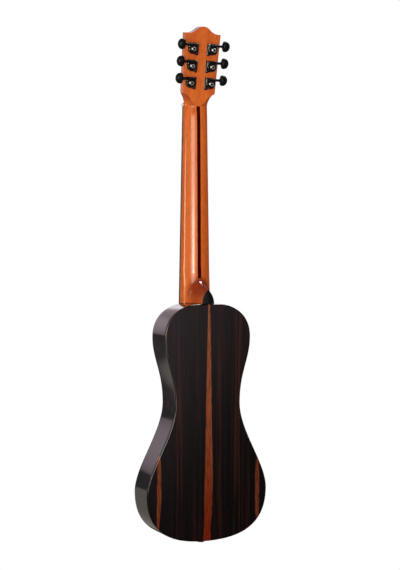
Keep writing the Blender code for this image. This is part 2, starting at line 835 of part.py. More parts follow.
def headplate():
    low = NUT_THICK + 3 * GLUE_GAP
    right = [(head_half(station), station) for station in spread(low, FLARE_STATION, 4)]
    right += crown()[::-1]
    face = right + [(-x, station) for x, station in reversed(right[:-1])]
    made = piece("headplate", extruded(face, -head_thick, -HEAD_WOOD - GLUE_GAP, head_place), dark_wood)
    for side in (1, -1):
        for row in range(3):
            cut(made, sleeve_hole(side, row))
    cut(made, truss_pocket())
    low += TRUSS_COVER_RISE - 3 * GLUE_GAP
    shoulder = low + TRUSS_COVER_SHOULDER
    right = [(TRUSS_COVER_HALF, low), (TRUSS_COVER_HALF, shoulder)]
    for step in range(1, TRUSS_COVER_STEPS):
        turn = math.pi / 2 * step / TRUSS_COVER_STEPS
        rise = (TRUSS_COVER_LENGTH - TRUSS_COVER_SHOULDER) * math.sin(turn)
        right.append((TRUSS_COVER_HALF * math.cos(turn), shoulder + rise))
    arch = right + [(0, low + TRUSS_COVER_LENGTH)] + [(-x, station) for x, station in reversed(right)]
    top = -head_thick - GLUE_GAP
    piece("truss_rod_cover", extruded(arch, top - TRUSS_COVER_THICK, top, head_place), black_plastic)


# Tuning machines
def tuner_frame(side, row):
    return head_frame @ Matrix.Translation((side * POST_OFFSET, 0, NEAR_ROW + row * ROW_PITCH))


def housing(side, name):
    def lay(outward, station, height):
        return Vector((side * outward, height, station))

    def shaft_rod(inner, outer, radius, sides):
        start = lay(inner, SHAFT_OFFSET, SHAFT_HEIGHT)
        return rod(start, lay(outer, SHAFT_OFFSET, SHAFT_HEIGHT), radius, sides)

    out = Vector((0, 1, 0))
    foot_top = GLUE_GAP + FOOT_THICK
    ear = [(-EAR_IN + EAR_RADIUS * math.cos(turn), -EAR_DOWN + EAR_RADIUS * math.sin(turn))
           for turn in (math.radians(degrees) for degrees in (180, 215, 250, 285, 320))]
    round_side = [(DOME_RADIUS * math.cos(turn), DOME_RADIUS * math.sin(turn))
                  for turn in (math.radians(degrees) for degrees in (-80, -55, -30, 0))]
    foot = [(-HOUSING_INNER, HOUSING_TOP)] + ear + round_side + [(DOME_RADIUS, HOUSING_TOP)]
    made = piece(name, extruded(foot, GLUE_GAP, foot_top, lay), black_metal)
    side_radius = DOME_RADIUS - BARREL_SEAT
    fuse(made, turned([(side_radius, foot_top - FUSE_OVER), (side_radius, DOME_HEIGHT - DOME_BEVEL),
                       (side_radius - DOME_CROWN, DOME_HEIGHT - DOME_CROWN),
                       (DOME_TOP_RADIUS, DOME_HEIGHT)], out, 14))
    inner = -HOUSING_INNER + BARREL_SEAT
    fuse(made, shaft_rod(inner, HOUSING_OUTER, BARREL_RADIUS, 10))
    web_half = BARREL_RADIUS - BARREL_SEAT
    web = [(inner + FUSE_OVER, SHAFT_OFFSET - web_half), (HOUSING_OUTER - FUSE_OVER, SHAFT_OFFSET - web_half),
           (HOUSING_OUTER - FUSE_OVER, SHAFT_OFFSET + web_half), (inner + FUSE_OVER, SHAFT_OFFSET + web_half)]
    fuse(made, extruded(web, GLUE_GAP + FUSE_OVER, SHAFT_HEIGHT - STEP_RISE, lay))
    washer_top = -head_thick - GLUE_GAP
    nut_top = washer_top - WASHER_THICK
    sleeve_end = nut_top - SLEEVE_NUT_THICK
    sleeve = [(SLEEVE_RADIUS, sleeve_end - FUSE_OVER), (SLEEVE_RADIUS, GLUE_GAP + FUSE_OVER)]
    fuse(made, turned(sleeve, out, 12))
    fuse(made, turned([(WASHER_RADIUS, nut_top), (WASHER_RADIUS, washer_top)], out, 14))
    fuse(made, turned([(SLEEVE_NUT_RADIUS, sleeve_end), (SLEEVE_NUT_RADIUS, nut_top + STEP_RISE)], out, 6))
    screw_base = Vector((side * -EAR_IN, 0, -EAR_DOWN))
    screw_edge = foot_top + EAR_SCREW_RISE / 2
    fuse(made, turned([(EAR_SCREW_RADIUS, foot_top - FUSE_OVER), (EAR_SCREW_RADIUS, screw_edge),
                       (EAR_SCREW_RADIUS / 2, foot_top + EAR_SCREW_RISE)], out, 8, screw_base))
    half_gear = GEAR_THICK / 2
    bore = POST_RADIUS + RUN_GAP
    cut(made, turned([(bore, sleeve_end - CUT_OVER), (bore, SHAFT_HEIGHT + half_gear + GEAR_ROOF)], out, 12))
    gear_room = [(GEAR_RADIUS + RUN_GAP, SHAFT_HEIGHT - half_gear - RUN_GAP),
                 (GEAR_RADIUS + RUN_GAP, SHAFT_HEIGHT + half_gear + RUN_GAP)]
    cut(made, turned(gear_room, out, 16))
    cut(made, shaft_rod(-WORM_LENGTH / 2 - RUN_GAP, HOUSING_OUTER + CUT_OVER, WORM_RADIUS + RUN_GAP, 10))
    round_shade(made)
    return made


def post(name):
    half_gear = GEAR_THICK / 2
    out = Vector((0, 1, 0))
    tip = -head_thick - POST_RISE
    winding_high = -head_thick - WINDING_START
    winding_low = winding_high - WINDING_RIBS * WINDING_PITCH
    profile = [
        (POST_RADIUS - POST_TIP_BEVEL, tip), (POST_RADIUS, tip + POST_TIP_BEVEL),
        (POST_RADIUS, winding_low - POST_WAIST_LENGTH),
        (POST_RADIUS - POST_WAIST, winding_low - 2 * STEP_RISE),
    ]
    for rib in range(WINDING_RIBS):
        low = winding_low + rib * WINDING_PITCH
        profile += [(POST_RADIUS + STEP_RISE, low), (WINDING_RADIUS, low + WINDING_PITCH / 2)]
    profile += [(POST_RADIUS, winding_high), (POST_RADIUS, SHAFT_HEIGHT + half_gear + RUN_GAP)]
    made = piece(name, turned(profile, out, POST_SIDES), steel)
    teeth = []
    for step in range(2 * GEAR_TEETH):
        turn = math.pi * step / GEAR_TEETH
        radius = GEAR_RADIUS - (GEAR_TOOTH if step % 2 else 0)
        teeth.append((radius * math.cos(turn), radius * math.sin(turn)))
    fuse(made, extruded(teeth, SHAFT_HEIGHT - half_gear, SHAFT_HEIGHT + half_gear))
    round_shade(made)
    return made


def button(side, name):
    def ring(outward, thick, tall):
        points = []
        for step in range(BUTTON_SIDES):
            turn = 2 * math.pi * step / BUTTON_SIDES
            points.append(Vector((side * outward, thick * math.cos(turn), tall * math.sin(turn))))
        return points

    rings = []
    worm_rib = WORM_LENGTH / WORM_RIBS
    groove = WORM_RADIUS - WORM_GROOVE
    for rib in range(WORM_RIBS):
        low = -WORM_LENGTH / 2 + rib * worm_rib
        rings.append(ring(low, groove, groove))
        rings.append(ring(low + worm_rib / 2, WORM_RADIUS, WORM_RADIUS))
    rings.append(ring(WORM_LENGTH / 2, SHAFT_RADIUS, SHAFT_RADIUS))
    centre = BUTTON_OFFSET - POST_OFFSET
    half = BUTTON_WIDTH / 2
    rings.append(ring(centre - half, SHAFT_RADIUS, SHAFT_RADIUS))
    # The knob is full on the side of the head and round outwards
    for share, size in ((-0.97, 0.66), (-0.86, 0.88), (-0.55, 1.0), (0.05, 0.93), (0.6, 0.64), (0.97, 0.2)):
        rings.append(ring(centre + half * share, BUTTON_THICK / 2 * size, BUTTON_LENGTH / 2 * size))
    made = piece(name, lofted(rings), black_plastic)
    round_shade(made)
    return made


def tuners():
    for side, numbers in ((1, (1, 2, 3)), (-1, (4, 5, 6))):
        first = {}
        for row, number in enumerate(numbers):
            frame = tuner_frame(side, row)
            shaft_frame = frame @ Matrix.Translation((0, SHAFT_HEIGHT, SHAFT_OFFSET))
            for kind, place in (("tuner_housing", frame), ("tuner_post", frame),
                                ("tuner_button", shaft_frame)):
                name = f"{kind}_{number}"
                if row > 0:
                    made = piece(name, first[kind].data, None)
                elif kind == "tuner_housing":
                    made = housing(side, name)
                elif kind == "tuner_post":
                    made = post(name)
                else:
                    made = button(side, name)
                first.setdefault(kind, made)
                made.matrix_world = place


# Strings, in order from the treble side
def strings():
    winding_height = -head_thick - WINDING_START - WINDING_RIBS * WINDING_PITCH / 2
    bridge_top = -GLUE_GAP - BRIDGE_THICK
    for number in range(6):
        radius = string_radius(number)
        side = 1 if number < 3 else -1
        row = number if number < 3 else 5 - number
        saddle_x = string_x(number, SADDLE_SPREAD)
        nut_x = string_x(number, NUT_SPREAD)
        reach = POST_OFFSET - WINDING_RADIUS - GLUE_GAP - radius
        pin_side = saddle_z - PIN_SETBACK + PIN_RADIUS + radius + GLUE_GAP
        points = [
            Vector((saddle_x, bridge_top - radius - GLUE_GAP, pin_side)),
            Vector((saddle_x, saddle_string_y - radius, saddle_z - SADDLE_THICK / 2 - radius)),
            Vector((nut_x, nut_string_y - radius, nut_z + NUT_THICK + radius)),
            head_frame @ Vector((side * reach, winding_height, NEAR_ROW + row * ROW_PITCH)),
        ]
        piece(f"string_{number + 1}", tube(points, radius, 6), steel if number < 2 else bronze)


def bridge():
    low_z = saddle_z + SADDLE_SETBACK - BRIDGE_LENGTH
    high_z = saddle_z + SADDLE_SETBACK
    foot = -GLUE_GAP
    top = foot - BRIDGE_THICK
    # Half width, height and how far the ends draw in, from the middle out
    right = [(BRIDGE_CENTRE_HALF, BRIDGE_THICK, 0), (BRIDGE_CENTRE_HALF + BRIDGE_RAMP, BRIDGE_WING_THICK, 0),
             (BRIDGE_HALF - BRIDGE_TIP, BRIDGE_WING_THICK, BRIDGE_LENGTH / 20),
             (BRIDGE_HALF, BRIDGE_WING_THICK / 2, BRIDGE_LENGTH / 7)]
    rings = []
    for x, height, inset in [(-x, height, inset) for x, height, inset in reversed(right)] + right:
        edge = min(height, BRIDGE_EDGE)
        low = low_z + inset
        high = high_z - inset
        profile = [(foot, low), (foot, high), (foot - height + edge, high), (foot - height, high - edge),
                   (foot - height, low + edge), (foot - height + edge, low)]
        rings.append([Vector((x, y, z)) for y, z in profile])
    made = piece("bridge", lofted(rings), dark_wood)
    saddle_low = saddle_z - SADDLE_THICK / 2
    saddle_high = saddle_z + SADDLE_THICK / 2
    slot_half = SADDLE_HALF + GLUE_GAP
    cut(made, block((-slot_half, top - CUT_OVER, saddle_low - GLUE_GAP),
                    (slot_half, slot_floor, saddle_high + GLUE_GAP)))
    cut(made, lead_hole())
    for number in range(6):
        centre = Vector((string_x(number, SADDLE_SPREAD), 0, saddle_z - PIN_SETBACK))
        fuse(made, turned([(PIN_RADIUS / 2, top - PIN_RISE), (PIN_RADIUS * 0.9, top - PIN_RISE * 0.7),
                           (PIN_RADIUS, top + FUSE_OVER)], (0, 1, 0), PIN_SIDES, centre))
    seat = top + SADDLE_SEAT
    crest = saddle_string_y + GLUE_GAP
    piece("saddle", block((-SADDLE_HALF, crest, saddle_low), (SADDLE_HALF, seat, saddle_high)), bone)
    piece("pickup_strip", block((-SADDLE_HALF, seat + GLUE_GAP, saddle_low),
                                (SADDLE_HALF, slot_floor - GLUE_GAP, saddle_high)), steel)


def lead_x():
    return -SADDLE_HALF + 2 * LEAD_RADIUS


def lead_hole():
    start = Vector((lead_x(), slot_floor - 2 * GLUE_GAP, saddle_z))
    end = Vector((lead_x(), TOP_THICK + BRIDGE_PLATE_THICK + CUT_OVER, saddle_z))
    return rod(start, end, LEAD_RADIUS + GLUE_GAP, 8)


# Preamp and battery on the bass side
def rim_frame(drop, shift=0.0):
    # x runs along the rim towards the neck, y across it, z out of it
    point, outward = rim_at(drop)
    out = Vector((-outward.x, 0, outward.y))
    across = Vector((0, 1, 0))
    along = across.cross(out)
    frame = Matrix((along, across, out)).transposed().to_4x4()
    frame.translation = Vector((-point.x, mid_depth + shift, point.y))
    return frame


def rim_strip(top, bottom, inner, outer, low, high):
    drops = spread(bottom, top, RIM_STEPS)
    near = [rim_at(drop, inner)[0] for drop in drops]
    far = [rim_at(drop, outer)[0] for drop in drops]
    wall = [(-p.x, p.y) for p in far] + [(-p.x, p.y) for p in reversed(near)]
    return extruded(wall, low, high)


drawer_width = BATTERY_WIDTH + 2 * GLUE_GAP + 2 * DRAWER_WALL
drawer_thick = BATTERY_THICK + GLUE_GAP + DRAWER_WALL
drawer_length = BATTERY_LENGTH + 2 * GLUE_GAP + DRAWER_WALL
bay_width = drawer_width + 2 * SLIDE_GAP
bay_thick = drawer_thick + 2 * SLIDE_GAP
bay_depth = drawer_length + SLIDE_GAP
surface = GLUE_GAP + PANEL_THICK


def box_in(frame, low, high):
    shape = block(low, high)
    bmesh.ops.transform(shape, matrix=frame, verts=shape.verts)
    return shape


def case_walls(grow):
    frame = rim_frame(BAY_STATION)
    bay_half = bay_thick / 2 + BAY_WALL + grow
    width_half = bay_width / 2 + BAY_WALL + grow
    deep = bay_depth + BAY_WALL + grow
    bay = box_in(frame, (-bay_half, -width_half, -deep), (bay_half, width_half, CUT_OVER))
    box = rim_strip(PANEL_TOP + CASE_MARGIN - grow, PANEL_BOTTOM - CASE_FOOT,
                    CASE_DEPTH + grow, -CUT_OVER, mid_depth - width_half, mid_depth + width_half)
    return bay, box


def bay_clearance():
    bay, box = case_walls(GLUE_GAP)
    holder = piece("bay_clearance", bay, black_plastic)
    fuse(holder, box)
    shape = bmesh.new()
    shape.from_mesh(holder.data)
    bpy.data.objects.remove(holder)
    return shape


def preamp():
    bay, box = case_walls(0)
    made = piece("preamp_case", bay, black_plastic)
    fuse(made, box)
    combine(made, extruded(outline(-PANEL_THICK / 2), -CUT_OVER, BODY_DEPTH + CUT_OVER), "INTERSECT")
    fuse(made, rim_strip(PANEL_TOP, PANEL_BOTTOM, -GLUE_GAP, -surface,
                         mid_depth - PANEL_HEIGHT / 2, mid_depth + PANEL_HEIGHT / 2))
    frame = rim_frame(BAY_STATION)
    cut(made, box_in(frame, (-bay_thick / 2, -bay_width / 2, -bay_depth),
                     (bay_thick / 2, bay_width / 2, 2 * CUT_OVER)))
    for number, name in enumerate(("volume_knob", "bass_knob", "treble_knob")):
        place = rim_frame(FIRST_KNOB + KNOB_PITCH * number, -KNOB_SHIFT)
        hole = KNOB_SHAFT_RADIUS + RUN_GAP
        drill = turned([(hole, -KNOB_SHAFT_LENGTH), (hole, CUT_OVER)], (0, 0, 1), 12)
        bmesh.ops.transform(drill, matrix=place, verts=drill.verts)
        cut(made, drill)
        knob(name, place)
    place = rim_frame(KEY_STATION, KEY_SHIFT)
    pocket_half = KEY_LENGTH / 2 + SLIDE_GAP
    pocket_side = KEY_WIDTH / 2 + SLIDE_GAP
    cut(made, box_in(place, (-pocket_half, -pocket_side, -KEY_ROOT - KEY_TRAVEL - SLIDE_GAP),
                     (pocket_half, pocket_side, CUT_OVER)))
    piece("tuner_key", block((-KEY_LENGTH / 2, -KEY_WIDTH / 2, -KEY_ROOT),
                             (KEY_LENGTH / 2, KEY_WIDTH / 2, surface + KEY_RISE)), black_plastic, place)


def knob(name, place):
    low = surface + RUN_GAP
    top = low + KNOB_HEIGHT
    profile = [(KNOB_SHAFT_RADIUS, RUN_GAP - KNOB_SHAFT_LENGTH), (KNOB_SHAFT_RADIUS, low),
               (KNOB_RADIUS, low + STEP_RISE), (KNOB_RADIUS, top - KNOB_BEVEL),
               (KNOB_RADIUS - KNOB_BEVEL, top)]
    made = piece(name, turned(profile, (0, 0, 1), 20), black_plastic)
    cut(made, block((KNOB_MARK_START, -KNOB_MARK_WIDTH / 2, top - KNOB_MARK_DEPTH),
                    (KNOB_RADIUS + CUT_OVER, KNOB_MARK_WIDTH / 2, top + CUT_OVER)))
    round_shade(made)
    made.matrix_world = place


def battery_bay():
    frame = rim_frame(BAY_STATION)
    half_thick = drawer_thick / 2
    half_width = drawer_width / 2
    drawer = piece("battery_drawer", block((-half_thick, -half_width, -drawer_length),
                                           (half_thick, half_width, DRAWER_FRONT)), black_plastic)
    well_low = DRAWER_WALL - drawer_length
    well_high = well_low + BATTERY_LENGTH + 2 * GLUE_GAP
    cut(drawer, block((-half_thick + DRAWER_WALL, -half_width + DRAWER_WALL, well_low),
                      (half_thick + CUT_OVER, half_width - DRAWER_WALL, well_high)))
    cut(drawer, block((-half_thick - CUT_OVER, -GRIP_HALF, DRAWER_FRONT - GRIP_DEPTH),
                      (-half_thick + 2 * GRIP_DEPTH, GRIP_HALF, DRAWER_FRONT + CUT_OVER)))
    drawer.matrix_world = frame
    cell_low = well_low + GLUE_GAP
    cell_floor = -half_thick + DRAWER_WALL + GLUE_GAP
    cell = block((cell_floor, -BATTERY_WIDTH / 2, cell_low),
                 (cell_floor + BATTERY_THICK, BATTERY_WIDTH / 2, cell_low + BATTERY_LENGTH))
    piece("battery", cell, battery_skin, frame)


# Jack and leads
jack_out = tail_z - GLUE_GAP - 2 * JACK_COLLAR_THICK - JACK_WAIST_LENGTH
jack_in = tail_z + JACK_LENGTH


def jack_hole():
    low = Vector((0, mid_depth, jack_out - CUT_OVER))
    return rod(low, Vector((0, mid_depth, jack_in + CUT_OVER)), JACK_RADIUS + GLUE_GAP, 20)


def end_jack():
    face = tail_z - GLUE_GAP
    flange = JACK_COLLAR_RADIUS + JACK_FLANGE
    profile = [
        (JACK_COLLAR_RADIUS - JACK_BEVEL, jack_out), (JACK_COLLAR_RADIUS, jack_out + JACK_BEVEL),
        (JACK_COLLAR_RADIUS, jack_out + JACK_COLLAR_THICK),
        (JACK_WAIST_RADIUS, jack_out + JACK_COLLAR_THICK + JACK_BEVEL),
        (JACK_WAIST_RADIUS, face - JACK_COLLAR_THICK), (flange, face - JACK_COLLAR_THICK / 2),
        (flange, face), (JACK_RADIUS, face + STEP_RISE), (JACK_RADIUS, jack_in),
    ]
    made = piece("end_jack", turned_up(profile, mid_depth, 20), black_metal)
    bore_end = jack_out + JACK_BORE_DEPTH
    cut(made, rod((0, mid_depth, jack_out - CUT_OVER), (0, mid_depth, bore_end), JACK_BORE_RADIUS, 20))
    round_shade(made)


def corner_turn(end):
    # The leads turn between the neck block and the battery bay
    side = LEAD_SPACING
    return [Vector((-0.3 * side, end.y, end.z - 2.4 * side)), Vector((-0.8 * side, end.y, end.z - side)),
            Vector((-2.2 * side, end.y, end.z)), end + Vector((1.2 * side, 0, 0)), end]


def leads():
    entry = rim_at(FIRST_KNOB + KNOB_PITCH, CASE_DEPTH + GLUE_GAP)[0]
    above_hole = hole_z + SOUNDHOLE_RADIUS
    start = Vector((lead_x(), slot_floor, saddle_z))
    down = Vector((0, LEAD_RUN, 0))
    end = Vector((-entry.x, mid_depth - LEAD_SPACING / 2, entry.y))
    depth = mid_depth - GLUE_GAP
    route = smooth_route([start, start + down, start + 2 * down, start + 3 * down,
                          start + Vector((LEAD_RUN, 4 * LEAD_RUN, 2 * LEAD_RUN)),
                          Vector((-1.6 * LEAD_SPACING, depth, saddle_z + 8 * LEAD_SPACING)),
                          Vector((-0.4 * LEAD_SPACING, depth, above_hole - 4 * LEAD_SPACING)),
                          *corner_turn(end)], LEAD_STEPS)
    piece("pickup_lead", tube(route, LEAD_RADIUS, 6), black_plastic)
    start = Vector((0, mid_depth, jack_in + GLUE_GAP))
    end = Vector((-entry.x, mid_depth + LEAD_SPACING / 2, entry.y))
    depth = mid_depth + 0.8 * LEAD_SPACING
    route = smooth_route([start, start + Vector((0, 0, LEAD_SPACING)),
                          Vector((0.4 * LEAD_SPACING, depth, jack_in + 7 * LEAD_SPACING)),
                          Vector((0.4 * LEAD_SPACING, depth, saddle_z + 9 * LEAD_SPACING)),
                          Vector((0.2 * LEAD_SPACING, depth, above_hole - 4 * LEAD_SPACING)),
                          *corner_turn(end)], LEAD_STEPS)
    piece("output_lead", tube(route, LEAD_RADIUS, 6), black_plastic)


soundboard()
back_plate()
ribs()
linings()
bindings()
blocks()
braces()
neck()
neck_fittings()
fretboard()
nut()
headplate()
tuners()
strings()
bridge()
preamp()
battery_bay()
end_jack()
leads()
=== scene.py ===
# Looks of the acoustic-electric guitar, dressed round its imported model.
# Metres, neck up: +Z runs up the neck, the soundboard faces -Y, the treble side is +X.
import json
import math

import bmesh
import bpy
from mathutils import Matrix, Vector


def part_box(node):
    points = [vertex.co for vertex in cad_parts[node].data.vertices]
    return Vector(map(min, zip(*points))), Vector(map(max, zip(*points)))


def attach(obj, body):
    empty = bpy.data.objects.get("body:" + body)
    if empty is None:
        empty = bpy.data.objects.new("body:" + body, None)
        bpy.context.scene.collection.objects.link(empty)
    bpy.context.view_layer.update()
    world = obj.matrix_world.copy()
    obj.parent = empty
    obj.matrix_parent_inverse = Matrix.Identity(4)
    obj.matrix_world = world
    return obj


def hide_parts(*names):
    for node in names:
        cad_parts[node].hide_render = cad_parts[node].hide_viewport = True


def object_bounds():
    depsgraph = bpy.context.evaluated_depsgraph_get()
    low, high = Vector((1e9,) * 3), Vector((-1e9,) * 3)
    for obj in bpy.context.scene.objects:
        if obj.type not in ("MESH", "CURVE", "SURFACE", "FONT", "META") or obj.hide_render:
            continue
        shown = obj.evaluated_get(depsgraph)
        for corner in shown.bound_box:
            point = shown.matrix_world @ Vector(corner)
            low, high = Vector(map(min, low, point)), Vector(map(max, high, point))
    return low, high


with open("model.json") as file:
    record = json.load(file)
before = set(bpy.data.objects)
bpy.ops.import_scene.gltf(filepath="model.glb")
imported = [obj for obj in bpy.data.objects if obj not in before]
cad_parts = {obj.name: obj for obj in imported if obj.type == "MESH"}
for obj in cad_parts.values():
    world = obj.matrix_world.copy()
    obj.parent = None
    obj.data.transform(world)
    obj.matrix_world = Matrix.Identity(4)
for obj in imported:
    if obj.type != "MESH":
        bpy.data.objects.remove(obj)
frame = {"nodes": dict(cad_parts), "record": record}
cadBox = [list(corner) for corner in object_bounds()]
nodes = frame["nodes"]
print("frame loaded:", len(nodes), "nodes")


# Shader maths
class Wire:  # one socket, on which plain maths adds nodes
    def __init__(self, paint, socket):
        self.paint = paint
        self.socket = socket

    def math(self, operation, *values):
        return self.paint.node("Math", {"operation": operation}, dict(enumerate(values)))

    def __add__(self, other):
        return self.math("ADD", self, other)

    def __radd__(self, other):
        return self.math("ADD", other, self)

    def __sub__(self, other):
        return self.math("SUBTRACT", self, other)

    def __rsub__(self, other):
        return self.math("SUBTRACT", other, self)

    def __mul__(self, other):
        return self.math("MULTIPLY", self, other)

    def __rmul__(self, other):
        return self.math("MULTIPLY", other, self)

    def __truediv__(self, other):
        return self.math("DIVIDE", self, other)

    def __pow__(self, other):
        return self.math("POWER", self, other)

    def size(self):
        return self.math("ABSOLUTE", self)

    def above(self, edge, soft):  # 0 below the edge, 1 above it
        return self.paint.node("MapRange", {"interpolation_type": "SMOOTHSTEP"},
                               {"Value": self, "From Min": edge - soft, "From Max": edge + soft})

    def within(self, low, high, soft):
        return self.above(low, soft) * (1 - self.above(high, soft))

    def follow(self, *stops):  # a value that runs straight from stop to stop, each a place and a height
        start, end = stops[0][0], stops[-1][0]
        tall = max(abs(height) for _, height in stops)
        share = self.paint.node("MapRange", {}, {"Value": self, "From Min": start, "From Max": end})
        greys = [((place - start) / (end - start), (0.5 + height / tall / 2,) * 3) for place, height in stops]
        return (self.paint.ramp(share, greys) - 0.5) * (2 * tall)


class Paint:
    def __init__(self, name, tree=None):
        if tree is None:
            self.material = bpy.data.materials.new(name)
            self.material.use_nodes = True
            tree = self.material.node_tree
            self.shader = tree.nodes["Principled BSDF"]
        self.tree = tree

    def node(self, kind, settings, inputs, out=0):
        made = self.tree.nodes.new("ShaderNode" + kind)
        for key, value in settings.items():
            if key == "stops":
                self.rampStops(made.color_ramp, value)
            else:
                setattr(made, key, value)
        for key, value in inputs.items():
            self.feed(made.inputs[key], value)
        return Wire(self, made.outputs[out])

    def rampStops(self, ramp, stops):
        while len(ramp.elements) < len(stops):
            ramp.elements.new(1.0)
        for element, (place, colour) in zip(ramp.elements, stops):
            element.position = place
            element.color = (*colour, 1)

    def feed(self, socket, value):
        if isinstance(value, Wire):
            self.tree.links.new(value.socket, socket)
        elif socket.type == "RGBA":
            socket.default_value = (*value, 1)
        else:
            socket.default_value = value

    def place(self, scale=(1, 1, 1), turn=(0, 0, 0), shift=(0, 0, 0)):
        spot = self.node("TexCoord", {}, {}, "Object")
        return self.node("Mapping", {}, {"Vector": spot, "Scale": scale, "Rotation": turn, "Location": shift})

    def axes(self, vector=None):  # a vector, or the place on the object, as three numbers
        split = self.tree.nodes.new("ShaderNodeSeparateXYZ")
        self.feed(split.inputs[0], self.place() if vector is None else vector)
        return [Wire(self, split.outputs[index]) for index in range(3)]

    def noise(self, scale, detail=2, rough=0.5, stretch=(1, 1, 1), shift=(0, 0, 0)):
        return self.node("TexNoise", {}, {"Vector": self.place(stretch, (0, 0, 0), shift), "Scale": scale,
                                          "Detail": detail, "Roughness": rough})

    def mix(self, low, high, share):
        return self.node("Mix", {"data_type": "RGBA"}, {0: share, 6: low, 7: high}, 2)

    def ramp(self, value, stops):
        return self.node("ValToRGB", {"stops": stops}, {0: value})

    def bump(self, height, strength, distance):
        return self.node("Bump", {}, {"Height": height, "Strength": strength, "Distance": distance})

    def done(self, **inputs):
        for key, value in inputs.items():
            self.feed(self.shader.inputs[key.replace("_", " ")], value)
        return self.material


# Finishes
mahogany = {"light": (0.74, 0.160, 0.027), "deep": (0.60, 0.105, 0.016), "red": (0.215, 0.018, 0.008),
            "pore": (0.30, 0.050, 0.012), "archHalf": 0.0198, "archFrom": -0.3299, "archTall": 0.0300,
            "rubbedTo": -0.3130, "rubbedHalf": 0.0232}


def mahoganyGloss():
    paint = Paint("mahoganyGloss")
    across, depth, along = paint.axes()
    flow = paint.noise(90, 4, 0.55, (1, 1, 0.05))
    figure = paint.noise(26, 3, 0.5, (1, 1, 0.16))
    fleck = paint.noise(1, 3, 0.65, (600, 600, 85))
    pores = fleck.above(0.57, 0.08)
    colour = paint.mix(mahogany["light"], mahogany["deep"], flow.above(0.5, 0.22) * 0.75 + figure.above(0.52, 0.12) * 0.25)
    # The end grain takes more stain, and faces that turn up or down are also darkened as painted shade; the heel's
    # block is redder wood under a rounded arch, whose dark red is partly painted shade
    # Darker where the face turns up or down: part end-grain stain, part painted shade
    endGrainShade = paint.axes(paint.node("TexCoord", {}, {}, "Normal"))[2].size().above(0.38, 0.20)
    # The arch mask darkens the heel's flanks, more so higher up: partly the redder block's own tone, partly painted
    # shade
    wide = across / mahogany["archHalf"]
    tall = (along - mahogany["archFrom"]).math("MAXIMUM", along - mahogany["archFrom"], 0) / mahogany["archTall"]
    arch = (1 - ((wide * wide + tall * tall) ** 0.5).above(1.0, 0.20)) * (0.4 + along.above(-0.3325, 0.010) * 0.6)
    colour = paint.mix(colour, mahogany["red"], arch.math("MAXIMUM", arch * 0.85, endGrainShade * 0.6))
    colour = paint.mix(colour, mahogany["pore"], pores * 0.42)
    # The lacquer lies thinner low on the heel, where it was rubbed down round the cap
    rubbed = (1 - along.above(mahogany["rubbedTo"], 0.006)) * (1 - across.size().above(mahogany["rubbedHalf"], 0.002))
    return paint.done(Base_Color=colour, Roughness=0.5 + flow * 0.06, Specular_IOR_Level=0.0,
                      Coat_Weight=1 - rubbed * 0.75, Coat_Roughness=0.17, Normal=paint.bump(pores, 0.08, 0.0002))


# The back and the ribs are dark striped wood; the back is two matched leaves with orange sapwood
# at their join and near the edges of the lower bout
ebony = {"ground": (0.0022, 0.0019, 0.0021), "stripe": (0.034, 0.010, 0.005), "sap": (0.240, 0.060, 0.020),
         "lowSap": (0.145, 0.011, 0.0015), "sideSap": (0.165, 0.034, 0.012), "soft": 0.0005}
trebleEdge = ((-0.741, 0.0087), (-0.723, 0.0075), (-0.693, 0.0065), (-0.663, 0.0065), (-0.604, 0.0052),
              (-0.559, 0.0046), (-0.499, 0.0035), (-0.440, 0.0025), (-0.395, 0.0014), (-0.344, 0.0008))
bassEdge = ((-0.741, 0.0052), (-0.723, 0.0051), (-0.708, 0.0057), (-0.693, 0.0074), (-0.663, 0.0086), (-0.604, 0.0085),
            (-0.559, 0.0069), (-0.499, 0.0060), (-0.440, 0.0051), (-0.395, 0.0041), (-0.344, 0.0028))
trebleSide = {"inner": ((-0.730, 0.0895), (-0.708, 0.0884), (-0.693, 0.0868), (-0.678, 0.0858), (-0.663, 0.0846),
                        (-0.648, 0.0846), (-0.619, 0.0850), (-0.604, 0.0856), (-0.580, 0.0885)),
              "outer": ((-0.730, 0.0926), (-0.663, 0.0922), (-0.604, 0.0914), (-0.580, 0.0905))}
bassSide = {"inner": ((-0.712, 0.0905), (-0.693, 0.0888), (-0.640, 0.0884), (-0.600, 0.0905)),
            "outer": ((-0.712, 0.0950), (-0.680, 0.0960), (-0.640, 0.0962), (-0.600, 0.0945))}


def stripes(paint, across, along):
    wander = (paint.noise(9, 3, 0.6, (1, 0.2, 1)) - 0.5) * 0.004
    mirrored = (across + wander * 0.6).size()
    grain = paint.noise(1, 4, 0.62, (430, 30, 5))
    lines = paint.noise(1, 2, 0.5, (1000, 30, 9))
    bands = mirrored.within(0.0165, 0.0250, 0.006) * 0.5 + mirrored.within(0.0480, 0.0620, 0.007) * 0.75
    bands = bands + mirrored.within(0.0720, 0.0790, 0.004) * 0.3 + 0.12
    share = bands * grain.above(0.53, 0.09) + lines.above(0.60, 0.06) * (0.08 + along.above(-0.52, 0.10) * 0.30)
    return paint.mix(ebony["ground"], ebony["stripe"], share), lines


def stripedEbony():
    paint = Paint("stripedEbony")
    across, depth, along = paint.axes()
    colour, lines = stripes(paint, across, along)
    return paint.done(Base_Color=colour, Roughness=0.5 + lines * 0.05, Specular_IOR_Level=0.0, Coat_Weight=1.0,
                      Coat_Roughness=0.05, Normal=paint.bump(lines, 0.02, 0.0002))


